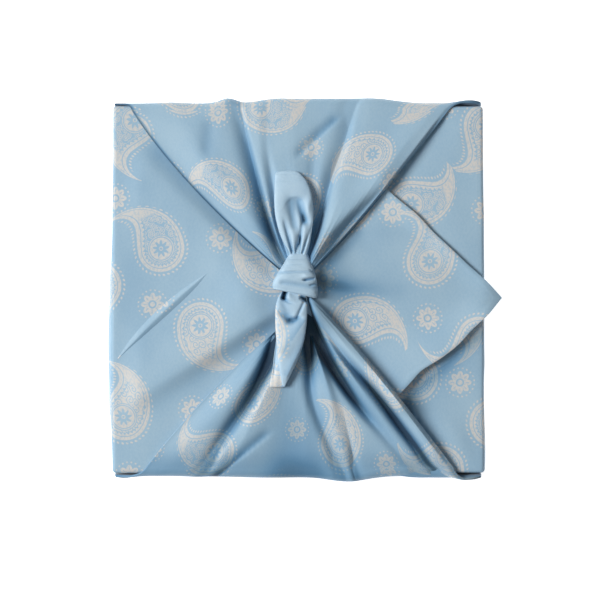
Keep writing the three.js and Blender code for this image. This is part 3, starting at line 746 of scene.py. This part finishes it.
tied = {
    "wallOut": boxHalf + 3.2,  # outside of the tied cloth on the wall
    "footOut": boxHalf - 2.3,  # where it leaves the underside
    "footLow": 0.3,
    "footHigh": 5.0,
    "bend": 7.0,  # radius where the tied cloth turns over the box's edge
    "edgeDrop": 1.2,  # and how much it sinks there
    "cornerX": boxHalf + 0.9,  # the side edges on the wall
    "cornerShare": 0.06,  # and how far they have moved in at the top of the wall
    "cornerSharp": 0.4,  # below 1 they move in early in the turn
    "edgeRound": 0.9,  # radius of the folded side edges
    "pocketShade": 0.12,  # painted shade round the pockets at the corners of the box
    "pocketWide": 15.0,
    # near the box's edge the rows lie straight: how far in they would reach at the knot, the half width
    # of their bell along the way, and the blend at their sides
    "straight": (60.0, 0.07, 0.05),
    "settle": 0.12,  # part of the way after which the fan has its own height
    "climb": 4.5,  # rise to the knot
    "climbHalf": 46.0,
    "knot": (-2.0, 10.5),
    "flatWide": (292.0, 122.0),  # cloth that shows, across the fan: at the box's edge, at the knot
    "flatWall": (5.0, 26.0),  # on the flat cloth past flatEdge: foot of the wall, and its height
    "flatTop": (37.3, 150.0),  # and the box's edge, and the way from there to the knot
    "returnWide": 62.0,  # cloth folded under along each side edge
    "returnSettle": 12.0,  # distance over which it comes down to the cloth below
    # lift of the middle of the fan and of its side edges at each stop from the box's edge to the knot
    "stops": (0, 0.25, 0.5, 0.75, 1),
    "lift": (1, 4.8, 7.4, 6.6, 0.8),
    "edgeLift": (0.3, 1, 1.8, 1.8, 0.4),
}

# Each fold of a fan has its share of the width and its height at the five stops, then the width of its
# left and right flank, how the flanks narrow to the knot, how sharp it is (2 is round, 1 is a crease) and
# how much painted shade it gets for each 10 mm that it goes down, which is below 0 where a ridge gets
# painted shade. The edge shade paints shade along both side edges, and the roll shade paints shade on the
# wall and the turn, and fades over rollWide on top.
backTie = {
    "sign": 1,
    "slack": [(-57, 9, 4.2), (-18, 20, 3.2), (20, 30, 3.6), (62, 24, 3.6), (140, 12, 2.6), (-104, 12, 0.8)],
    "left": [(-134.2, 145.2), (-108, 104), (-62, 56), (-11, 13)],
    "right": [(121.3, 145.2), (98, 116), (52, 52), (10, 14)],
    "folds": [
        ((0.16, 0.15, 0.13, 0.11, 0.09), (0.1, 0.2, 0.7, 1.6, 1), 34, 34, 0.12, 2, -1.2),
        ((0.338, 0.338, 0.328, 0.3, 0.25), (-2.6, -5, -7, -8.5, -5), 6.5, 2, 0.8, 1.6, 1),
        ((0.395, 0.385, 0.372, 0.345, 0.31), (0.6, 0.8, 1.4, 2, 1), 6, 8, 0.4, 2, 0),
        ((0.43, 0.405, 0.4, 0.372, 0.37), (-0.3, -0.6, -3, -5, -3), 5, 4, 0.5, 2, 0.7),
        ((0.5, 0.5, 0.5, 0.5, 0.52), (0.8, 0.8, 0.2, -0.4, -0.6), 20, 14, 0.2, 2, 0),
        ((0.6, 0.59, 0.605, 0.672, 0.69), (0, -0.8, -2, -3, -2), 9, 7, 0.5, 2, 0.9),
        ((0.7, 0.7, 0.69, 0.71, 0.73), (-2.8, -3.4, -5.2, -8, -6), 8, 3, 0.6, 1.6, 0.6),
        ((0.76, 0.77, 0.76, 0.79, 0.8), (0.4, 0.5, 1, 2, 1), 7, 16, 0.5, 2, 0),
        ((0.955, 0.93, 0.905, 0.84, 0.8), (0.6, 1.2, 2, 2.6, 1.4), 18, 9, 0.6, 2, 0),
        ((0.997, 0.997, 0.99, 0.925, 0.91), (0, 0, -1.4, -4, -3), 4, 9, 1.5, 2, 1),
    ],
    "creases": [
        (28.5, 136.3, 3.3, 112, 1.8, 5, 1, -1.8, -1.3, 6),
        (-73, 132, -74, 116, 5, 5, 1, -0.9, -0.9, 8),
    ],
    "edgeShade": (0.75, 0.35),
    "ramps": (42, 3.6),  # how far the rise to the lift reaches in from both side edges
    "rollShade": 0,
    "rollWide": 14,
    "seed": 11,
}

frontTie = {
    "sign": -1,
    "slack": [(-20, 40, 1.6), (41, 22, 4.6), (137, 13, 3.2), (-142, 9, 1.8), (-84, 10, 0.7)],
    "left": [(-123.2, -145.2), (-94, -106), (-52, -62), (-10, -27)],
    "right": [(126.2, -145.2), (98, -110), (60, -56), (9, -6)],
    "folds": [
        ((0.07, 0.09, 0.1, 0.1, 0.06), (0.6, 0.8, 0.8, 1.6, 1), 24, 16, 0.3, 2, -1.4),
        ((0.19, 0.212, 0.238, 0.235, 0.12), (-2.6, -5.6, -9, -12, -5), 6.5, 5, 0.9, 2, 1.1),
        ((0.275, 0.29, 0.31, 0.32, 0.3), (0.8, 1.2, 1.8, 2, 1), 6, 14, 0.4, 2, 0),
        ((0.45, 0.445, 0.445, 0.46, 0.47), (-1.8, -1.6, -1.2, -1.2, -0.6), 18, 18, 0.4, 2, 1.9),
        ((0.56, 0.545, 0.5, 0.51, 0.55), (-0.5, -0.3, 0, 0, 0), 18, 12, 0.5, 2, 5),
        ((0.635, 0.595, 0.556, 0.578, 0.64), (-2.4, -3, -4.6, -10, -8), 4.5, 4.8, 1, 1.9, 1),
        ((0.665, 0.65, 0.655, 0.645, 0.68), (0.8, 0.8, 2, 4, 1), 6, 5, 0.4, 2, -0.8),
        ((0.685, 0.69, 0.7, 0.7, 0.7), (-3.4, -1, 0, 0, 0), 3, 3, 0.6, 1.6, 0.8),
        ((0.87, 0.82, 0.755, 0.7, 0.7), (-1.2, -2.4, -9, -13, -8), 5.2, 6.6, 0.5, 2, 1.3),
        ((0.89, 0.868, 0.838, 0.795, 0.77), (0.6, 1.2, 2.4, 1.8, 0.6), 5, 5, 0.6, 2, -1),
        ((0.935, 0.918, 0.895, 0.838, 0.8), (-5, -10.5, -8, -1.4, 0), 3.6, 3.4, 0.9, 2, 1.1),
        ((0.985, 0.983, 0.977, 0.93, 0.88), (3, 4, 4, 2.6, 1), 8, 7, 0.7, 2.4, 0),
    ],
    "creases": [
        (-29.3, -120.8, -68.3, -153.4, 1.6, 5, 1, -1.6, -2.4, 8),
    ],
    "edgeShade": (0.1, 0.1),
    "ramps": (34, 4),
    "rollShade": 0.3,
    "rollWide": 17,
    "seed": 12,
}


def atStops(stops, values, part):  # a value of the table at each part of the way to the knot
    return readCurve(stops, values, part)[:, None]


# Columns follow the folds: between two folds their spacing is (1 - cos) / 2, so they crowd at the folds.
def columnShares(stops, folds, perGap, parts):
    lines = [atStops(stops, fold[0], parts) for fold in folds]
    lines = joined(0 * lines[0], *lines, 0 * lines[0] + 1, axis=1)
    spread = (1 - np.cos(np.pi * np.arange(1, perGap + 1) / perGap)) / 2
    between = lines[:, :-1, None] + np.diff(lines, axis=1)[:, :, None] * spread
    return joined(lines[:, :1], between.reshape(len(parts), -1), axis=1)


# Height of a fan over its ground. It goes from edgeLift at the side edges to lift over the two ramps, each
# fold adds height * exp(-(across / flank) ^ sharp), and fine radial streaks grow to the knot. The second
# result is its painted shade: -0.1 * dark * height for each fold, on flanks 1.2 mm wider, and the edge
# shade * bell(distance, 1.7) for the side edges.
def fanHeight(cfg, tie, shares, width, part):
    stops, way = cfg["stops"], part[:, None]
    lift = atStops(stops, cfg["lift"], part)
    edge = atStops(stops, cfg["edgeLift"], part)
    narrowing = lerp(1, 0.4, way)
    inner = smoothstep(shares * width / narrowing, 0, tie["ramps"][0])
    inner = inner * smoothstep((1 - shares) * width / narrowing, 0, tie["ramps"][1])
    height = lerp(edge, lift, inner)
    paintedShade = 0 * shares
    for share, high, leftWide, rightWide, narrow, sharp, dark in tie["folds"]:
        across = (shares - atStops(stops, share, part)) * width
        flank = np.where(across > 0, rightWide, leftWide) * lerp(1, narrow, way)
        fold = atStops(stops, high, part)
        height = height + fold * np.exp(-(np.abs(across / flank) ** sharp))
        wide = np.exp(-(np.abs(across / (flank + 1.2)) ** sharp))
        paintedShade = paintedShade - 0.1 * dark * wide * fold
    for dark, fromEdge in zip(tie["edgeShade"], (shares * width, (1 - shares) * width)):
        paintedShade = paintedShade + dark * bell(fromEdge, 1.7)
    streaks = softNoise(shares * 46, 2.2 * way + 0 * shares, 1.0, tie["seed"])
    streaks += 0.6 * softNoise(shares * 92, 3.5 * way + 0 * shares, 1.0, tie["seed"] + 5)
    return height + streaks * lerp(0.05, 0.3, way**2), paintedShade


# A tied corner. Rows go up the wall, over the edge by a quarter circle of radius bend and over the box to
# the knot, columns across the fan between its two side edges, which are Bezier curves on top. There it
# lies on the left corner with tieLift, the height of its fan, its creases and
# climb * bell(distance from the knot, climbHalf). Near the box's edge it keeps the height of the turn, and
# its rows lie straight, inward * part from the edge. Along both sides the cloth turns under in a half
# circle of radius edgeRound and comes down to the cloth below.
def tieGrid(cfg, base, tie):
    sign, bend, wallOut = tie["sign"], cfg["bend"], cfg["wallOut"]
    foot = np.radians(np.linspace(14, 90, 5))
    wall = np.linspace(0, 1, 10)[1:]
    turn = np.linspace(0, np.pi / 2, 8)[1:]
    tops = np.linspace(0, 1, 124)[1:] ** 1.06
    firstTurn = len(foot) + len(wall)
    firstTop = firstTurn + len(turn)
    part = joined(np.zeros(firstTop), tops)
    way = part[:, None]  # part of the way from the box's edge to the knot
    shares = columnShares(cfg["stops"], tie["folds"], 17, part)

    moved = cfg["cornerShare"]
    rounding = (np.sin(turn / 2) / math.sin(math.pi / 4)) ** cfg["cornerSharp"]
    wide = joined(0 * foot, moved * wall**3, moved + (1 - moved) * rounding, 1 + 0 * tops)[:, None]
    left, right = bezier(tie["left"], part), bezier(tie["right"], part)
    leftX, rightX = lerp(-cfg["cornerX"], left[:, :1], wide), lerp(cfg["cornerX"], right[:, :1], wide)
    width = rightX - leftX
    x = lerp(leftX, rightX, shares)
    stand = slack(tie["slack"], x)
    fan, paintedShade = fanHeight(cfg, tie, shares, width, part)
    edgeHigh = base["leftTop"] + base["tieLift"] - cfg["edgeDrop"] + np.maximum(fan[firstTop], 0)

    upWall = lerp(cfg["footHigh"], edgeHigh - bend, wall[:, None])
    footY = lerp(cfg["footOut"], wallOut, np.sin(foot))[:, None] + 0 * x[0]
    footRise = cfg["footHigh"] - cfg["footLow"]
    footZ = cfg["footLow"] + footRise * (1 - np.cos(foot))[:, None] + 0 * x[0]
    wallStand = stand[len(foot):firstTurn] * np.clip((upWall - 4) / 26, 0, 1) ** 1.5
    turnY = wallOut - bend + stand[firstTurn:firstTop] + bend * np.cos(turn)[:, None]
    turnZ = edgeHigh - bend + bend * np.sin(turn)[:, None]
    inward, ends, sides = cfg["straight"]
    straight = wallOut - bend + stand[firstTop:] - inward * way[firstTop:]
    topY = lerp(left[:, 1:], right[:, 1:], shares)[firstTop:] * sign
    inFan = smoothstep((shares * (1 - shares))[firstTop:], 0, sides)
    topY = lerp(topY, straight, bell(way[firstTop:], ends) * inFan)
    y = sign * joined(footY, wallOut + wallStand, turnY, topY)

    rise = cfg["climb"] * bell(np.hypot(x - cfg["knot"][0], y - cfg["knot"][1]), cfg["climbHalf"])
    creases = lineFolds(tie["creases"], x, y)
    free = leftTopHeight(base, x, y) + base["tieLift"] + np.maximum(fan + rise + creases, 0)
    topZ = lerp(edgeHigh, free, smoothstep(way, 0, cfg["settle"]))[firstTop:]
    z = joined(footZ, upWall, turnZ, topZ)
    flatStart, flatRun = cfg["flatTop"]
    # painted shade in the creases, on the roll over the box's edge, and round the pockets
    paintedShade = paintedShade - 0.25 * creases + tie["rollShade"] * bell(flatRun * way, tie["rollWide"])
    fromSide = np.minimum(shares, 1 - shares) * width
    paintedShade = paintedShade + cfg["pocketShade"] * bell(fromSide, cfg["pocketWide"]) * (1 - wide)

    normalOut = joined(np.sin(foot), 1 + 0 * wall, np.cos(turn), 0 * tops)
    normalUp = joined(-np.cos(foot), 0 * wall, np.sin(turn), 0 * tops + 1)
    normal = np.stack([0 * normalOut, sign * normalOut, normalUp], axis=1)[:, None, :]
    middle = np.stack([x, y, z], axis=-1)
    across = joined(width, (right[:, 1:] - left[:, 1:]) * wide, 0 * wide, axis=1)
    across = (across / np.linalg.norm(across, axis=1)[:, None])[:, None, :]

    radius = cfg["edgeRound"]
    arc = np.linspace(0, np.pi, 6)[1:]
    aside, down = np.sin(arc)[:, None], (np.cos(arc) - 1)[:, None]
    underWide = cfg["returnWide"] * np.interp(part, [0, 1], [1, 0.15])
    underWide[:len(foot)] = 2.0
    underWide[len(foot):firstTop] = np.linspace(6, cfg["returnWide"], firstTop - len(foot))
    reach = underWide[:, None] * np.linspace(0, 1, 9)[1:]
    onTop = smoothstep(way, 0.0, 0.1)[:, :, None]

    def groundAt(points):
        return leftTopHeight(base, points[:, :, 0], points[:, :, 1])[:, :, None]

    def turnUnder(edge, outward):  # the curl, and the cloth that goes back below and sinks to the ground
        curl = edge + radius * (outward * aside + normal * down)
        under = curl[:, -1:] - outward * reach[:, :, None]
        above = edge[:, :, 2:] - groundAt(edge) - base["tieLift"]
        above[:firstTop] = above[firstTop]
        above = np.clip(above, 0, None) * (1 - bell(reach[:, :, None], cfg["returnSettle"]))
        under[:, :, 2:] -= (groundAt(edge) - groundAt(under)) * onTop + above
        return joined(curl, under, axis=1)

    left, right = turnUnder(middle[:, :1], -across)[:, ::-1], turnUnder(middle[:, -1:], across)
    half = np.interp(part, [0, 1], cfg["flatWide"])[:, None] / 2
    extra = joined(radius * arc + 0 * way, radius * np.pi + reach, axis=1)
    flatX = joined(-half - extra[:, ::-1], (shares - 0.5) * (2 * half), half + extra, axis=1)
    wallStart, wallHigh = cfg["flatWall"]
    upFlat = joined((wallStart - 1) * foot / foot[-1], wallStart + wallHigh * wall,
                    wallStart + wallHigh + bend * turn, flatStart + flatRun * tops)
    flat = np.stack([flatX, sign * (flatEdge + upFlat)[:, None] + 0 * flatX], axis=-1)
    points = joined(left, middle, right, axis=1)
    paintedShade = np.pad(paintedShade, ((0, 0), 2 * extra.shape[1:]), mode="edge")
    return {"points": points, "flat": flat, "flip": sign < 0, "shade": paintedShade}


# A narrow tuck in the left corner: a low roof between two lines, with height
# high * (1 - (1 - roof) ^ 1.4), where roof runs from 0 at its sides to 1 at its ridge.
tuck = {
    "from": (-148.0, -58.0),
    "to": (-73.0, 14.0),
    "bow": 2.2,  # how far it bows to the back
    "sink": 0.1,  # its sides lie this much in the cloth
    "dark": 0.14,  # painted shade on its front slope, which faces away from the lamp
    "flatShift": (-331.0, -5.0),  # its cloth, on the flat cloth
    # part of the way, how far it reaches back and front, and how high
    "rows": [(0, 0.2, 0.2, 0), (0.12, 2.6, 1.2, 0.5), (0.35, 4.4, 3.4, 1.2), (0.6, 4.2, 4.4, 1.5),
             (0.85, 2.4, 3.2, 0.9), (1, 0.2, 0.2, 0)],
}


def tuckGrid(cfg, base):
    part = np.linspace(0, 1, 60)[:, None]
    share = np.linspace(0, 1, 13)
    knots, back, front, high = zip(*cfg["rows"])
    back, front, high = (readCurve(knots, column, part) for column in (back, front, high))
    (x0, y0), (x1, y1) = cfg["from"], cfg["to"]
    length = math.hypot(x1 - x0, y1 - y0)
    asideX, asideY = -(y1 - y0) / length, (x1 - x0) / length
    across = lerp(-front, back, share) + cfg["bow"] * np.sin(np.pi * part)
    x, y = lerp(x0, x1, part) + asideX * across, lerp(y0, y1, part) + asideY * across
    ridge = front / (front + back)
    roof = np.where(share < ridge, share / ridge, (1 - share) / (1 - ridge))
    z = leftTopHeight(base, x, y) - cfg["sink"] + (high + cfg["sink"]) * (1 - (1 - roof) ** 1.4)
    flat = np.stack([cfg["flatShift"][0] - x, y + cfg["flatShift"][1]], axis=-1)
    shade = cfg["dark"] * smoothstep(-share, -ridge, 0.1 - ridge)
    return {"points": np.stack([x, y, z], axis=-1), "flat": flat, "flip": True, "shade": shade}


patches = [
    leftHalf(wrap),
    rightHalf(wrap),
    innerWall(wrap, 1),
    innerWall(wrap, -1),
    tieGrid(tied, wrap, backTie),
    tieGrid(tied, wrap, frontTie),
    tuckGrid(tuck, wrap),
]
cloth = makePiece("furoshikiCloth", patches, printedSatin)
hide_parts("cloth")
print("cloth is folded:", len(cloth.data.vertices), "points")

# The knot and its tails: closed skins over sections along y. Each has its part of the length, y, slant,
# left, right, low and high, where slant moves a point along y by slant * x. folds have the columns of
# leftFolds, and dark, rows of painted shade, those of the left corner's rows of painted shade.

ground = wrap["leftTop"]

knotBand = {
    "sections": [
        (0, 24, 0, -3, 4, 6, 10),
        (0.05, 28.6, 0, -5.5, 6.5, 3, 13),
        (0.12, 28.9, 0, -6.8, 7.6, 2, 14.4),
        (0.22, 26, -0.02, -8.6, 9, 1, 16.4),
        (0.38, 19, -0.06, -12.4, 12, 0.6, 19.4),
        (0.55, 10.5, -0.11, -17, 14.8, 0.6, 21),
        (0.72, 2.6, -0.18, -20.2, 15.9, 0.8, 20),
        (0.84, -2.4, -0.22, -20.6, 15.6, 1.6, 18.2),
        (0.9, -4, -0.22, -19.6, 15, 2.2, 16.6),
        (0.95, -2.6, -0.22, -17, 13.4, 3, 14.6),
        (1, 3, -0.2, -10, 9, 5, 11),
    ],
    "rows": 120,
    "around": 96,
    "folds": [
        (-14, 13.8, 11, 14.4, 0.7, 1.2, 1, -1, -0.8, 2),
        (-8, 20, 3, 20.6, 0.6, 0.8, 1, -0.3, -0.3, 2),
        (-6, 24.4, 7, 25, 0.6, 0.8, 1, -0.3, -0.3, 2),
        (-12, 5.4, 14, 1.4, 2.4, 1.8, 1, -1.2, -1.4, 3),
        (5.6, 7.4, 12.6, 8.6, 1, 0.8, 1, -3.4, -2.6, 1.2),
        (6, 11.2, 15, 10.4, 1.4, 1.6, 1, 1, 1, 2),
        (10.6, 15.2, 16, 11.6, 0.8, 0.8, 1, -1.2, -1.6, 1.5),
        (11, 3.6, 17, 4.6, 0.9, 0.9, 1, -1.6, -2.2, 1.5),
        (-18, 0.2, 15, -5.4, 1, 1, 1, 0.5, 0.5, 3),
    ],
    "roundness": 0.54,
    "waves": (0.16, 4, 2.5, 31),  # height, cell, how much shorter they are along y, seed
}


# A closed skin. Round each section x goes from left to right as the signed |cos| ^ roundness and z from
# low to high as the signed |sin| ^ roundness. The upper side then gets its folds, its waves and what
# addShape adds. It gets painted shade of how far its folds go down / 5, up to 0.8, and its rows of painted
# shade.
def sectionSkin(cfg, addShape):
    t = np.linspace(0, 1, cfg["rows"])
    knots, *columns = zip(*cfg["sections"])
    at, slant, left, right, low, high = (readCurve(knots, column, t)[:, None] for column in columns)
    angle = np.linspace(0, 2 * np.pi, cfg["around"] + 1)
    power = lambda wave: np.sign(wave) * np.abs(wave) ** cfg["roundness"]
    across, up = power(np.cos(angle)), power(np.sin(angle))
    x = (left + right) / 2 + (right - left) / 2 * across
    y = at + slant * x
    onTop = smoothstep(np.clip(np.sin(angle), 0, 1), 0.0, 0.35)
    folds = lineFolds(cfg["folds"], x, y)
    waveHigh, cell, stretch, seed = cfg["waves"]
    shape = addShape(cfg, x, y, across) + waveHigh * softNoise(x, y * stretch, cell, seed)
    z = ground + (low + high) / 2 + (high - low) / 2 * up + (folds + shape) * onTop
    shiftX, shiftY = cfg.get("printShift", (0, 0))
    flat = np.stack([x + shiftX, y + shiftY], axis=-1)
    paintedShade = np.clip(-folds / 5, 0, 0.8) * onTop + lineFolds(cfg.get("dark", []), x, y)
    return {"points": np.stack([x, y, z], axis=-1), "flat": flat, "shade": paintedShade}


def makeSkin(name, cfg, material, addShape=lambda cfg, x, y, across: 0):
    return makePiece(name, [sectionSkin(cfg, addShape)], material)


knotPiece = makeSkin("knotBand", knotBand, plainSheenSatin)

upperTail = {
    "sections": [
        (0, 18, 0, -4, 5, 9, 13),
        (0.12, 29, 0, -6.6, 7.6, 9, 16),
        (0.25, 38, 0, -11.8, 9.8, 10.5, 18.6),
        (0.4, 49, 0, -16, 11.2, 11, 19),
        (0.55, 61, 0, -18.6, 12.4, 10.5, 18),
        (0.7, 73, 0, -19.2, 11.6, 9.5, 16.2),
        (0.82, 83, 0.02, -19, 9, 8.5, 14.4),
        (0.91, 90.5, 0.05, -18.6, 4.6, 8, 12.6),
        (0.97, 95.6, 0.1, -18.2, -1, 8, 11.2),
        (1, 97.2, 0.12, -17, -6, 8.8, 9.8),
    ],
    "rows": 150,
    "around": 110,
    "folds": [
        (-5.6, 70, -3, 52, 2.6, 4, 1, -2, -2.6, 5),
        (0.6, 70, 5.4, 56, 4, 2.8, 0.8, -2.4, -3.6, 4),
        (4.4, 56, 0.8, 36, 3.4, 1.8, 0.6, -1.8, -3.4, 6),
        (-6.5, 56, -1.4, 37, 2, 2.4, 0.8, 0.8, 2, 5),
        (-10.4, 52, -4.6, 29, 2.2, 1.4, 0.7, -1, -3.2, 4),
        (-2.2, 45, -1.2, 29, 1.2, 1.2, 0.8, -1, -4, 4),
        (1.6, 41, 0.6, 29, 1.1, 1.1, 0.8, -2, -4, 3),
        (9.4, 46, 3.6, 29, 0.9, 1.3, 0.8, -0.4, -2.4, 4),
        (8, 66, 3.2, 40, 2.6, 2.6, 0.8, 1.2, 1.6, 8),
    ],
    "roundness": 0.62,
    "waves": (0.12, 6, 1, 41),
    "arch": (-2.5, 75.0, 0.10, 1.4),  # x and y of its crown, bow, depth
    "hemLines": (93.6, 88.4, 0.5),  # y of both stitch lines, and their depth
}


# The arch is the top of its hollow, a step down along the curve y = crown - bow * (x from the crown) ^ 2.
# All but the left edge lies 1 mm lower round y 50. Two stitch lines run along the hem, each a bell.
def upperTailShape(cfg, x, y, across):
    crownX, crownY, bow, deep = cfg["arch"]
    archY = crownY - bow * (x - crownX) ** 2
    arch = -deep * smoothstep(-y, -archY - 0.4, -archY + 1.6) * smoothstep(y, 48, 66) * bell(x + 2.0, 7.0)
    slope = -1.0 * smoothstep(across, -0.95, -0.3) * bell(y - 50, 20)
    outer, inner, lineDeep = cfg["hemLines"]
    hem = -lineDeep * bell(y - outer, 0.5) + 0.25 * smoothstep(y, 91, 93.2)
    return arch + slope + (hem - lineDeep * bell(y - inner - 0.06 * x, 0.5))


upperPiece = makeSkin("upperTail", upperTail, plainSheenSatin, upperTailShape)

lowerTail = {
    "sections": [
        (0, 4, 0, -8, 6, 9, 15),
        (0.1, -5, -0.1, -14.4, 7, 9, 17),
        (0.2, -13, -0.1, -17.6, 7.6, 10, 18),
        (0.35, -25, 0, -18.4, 7.2, 11, 18.4),
        (0.5, -38, 0, -17.8, 5.6, 11.5, 18),
        (0.65, -50, 0, -16.8, 2.4, 11.5, 17.4),
        (0.8, -62, 0, -15.4, -2.6, 11.5, 16.4),
        (0.92, -72, 0, -13.6, -7.4, 11.5, 15),
        (1, -78.4, 0, -12.2, -10.6, 11.5, 13.4),
    ],
    "rows": 130,
    "around": 90,
    "printShift": (28, 88),
    "folds": [
        (5, -26, -11.5, -50.5, 6, 7, 1, 1.6, 1.6, 4),
        (6.5, -38, -8.5, -69, 1, 4, 1, 0.8, 0.8, 4),
        (4, -12, -1, -23, 1.2, 1, 1, -1.2, -2, 3),
        (-14, -19, -6, -25, 2.6, 2.2, 1, -1.4, -2.6, 3),
        (-6, -25, 1, -23, 1.8, 3, 1, -2.6, -2, 3),
        (-12, -10, -8, -20, 3, 3, 1, -1, -1.2, 3),
        (-10.2, -1.5, -11.8, -7, 1.7, 1.7, 1, -6, -4.5, 1),
        (-11.6, -7.5, -5, -11.5, 1.2, 1.2, 1, -2.6, -1, 1.5),
        (2.4, -6.5, 8, -9, 1.5, 1.5, 1, -2.5, -6, 1),
        (-7.5, -3.5, -5, -9.5, 1.6, 2, 1, 1.2, 0.8, 1.5),
    ],
    # painted shade on the facets and in the holes of the tail
    "dark": [
        (5, -26, -11.5, -50.5, 0.4, 6, 1, 0.36, 0.3, 2),
        (6.5, -38, -8.5, -69, 0.4, 5, 1, 0.22, 0.3, 2),
        (-10.5, -1.5, -11.8, -7, 2, 1.8, 1, 0.6, 0.4, 1),
        (3, -5.5, 8, -9, 1.5, 1.5, 1, 0.4, 0.6, 1),
    ],
    "roundness": 0.6,
    "waves": (0.12, 6, 1, 43),
}

lowerPiece = makeSkin("lowerTail", lowerTail, tiedSheenSatin)

tailEnd = {
    "sections": [
        (0, -36, 0, -17, -10, 11, 13.4),
        (0.3, -50, 0, -19, -10, 11, 13.2),
        (0.7, -66, 0, -20.8, -11, 11, 13),
        (0.97, -78.2, 0, -22.8, -12.2, 11, 12.6),
        (1, -78.8, 0, -22.6, -12.4, 11.4, 12.2),
    ],
    "rows": 50,
    "around": 40,
    "printShift": (12, 41),
    "folds": [(-17.4, -45, -19.4, -66, 0.7, 0.7, 1, -1.2, -1, 4)],
    "roundness": 0.7,
    "waves": (0, 1, 1, 0),  # none
    "hemLine": -76.4,  # y of its stitch line
}


def tailEndShape(cfg, x, y, across):  # a stitch line along the hem, and a soft ridge down the middle
    return -0.3 * bell(y - cfg["hemLine"], 0.4) + 0.4 * bell(across, 0.3)


endPiece = makeSkin("tailEnd", tailEnd, tiedSheenSatin, tailEndShape)
print("knot is tied")

# the box that the cloth goes round, which stays as its solid and gets a card finish

card = {
    "pale": (0.74, 0.70, 0.63),
    "dark": (0.62, 0.575, 0.50),
    "roughness": 0.82,
    "fibreScale": 900.0,
    "fibreBump": (0.3, 0.1 * mm),  # strength, and height of the fibres
}


def makeCard(cfg):
    material, tree = newMaterial("greyCard")
    shader = tree.nodes["Principled BSDF"]
    place = addNode(tree, "ShaderNodeTexCoord").outputs["Object"]
    values = {"Vector": place, "Scale": cfg["fibreScale"], "Detail": 4.0}
    grain = Wire(tree, addNode(tree, "ShaderNodeTexNoise", values).outputs["Fac"])
    colour = mixColour(tree, grain, cfg["dark"], cfg["pale"])
    feed(tree, shader, {"Base Color": colour, "Roughness": grain * 0.15 + (cfg["roughness"] - 0.07)})
    addBump(tree, shader, grain, *cfg["fibreBump"])
    return material


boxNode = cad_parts["box"]
boxNode.data.materials.clear()
boxNode.data.materials.append(makeCard(card))
print("box is finished")

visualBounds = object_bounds()
({"cad": [list(corner) for corner in cadBounds],
           "visual": [list(corner) for corner in visualBounds]})
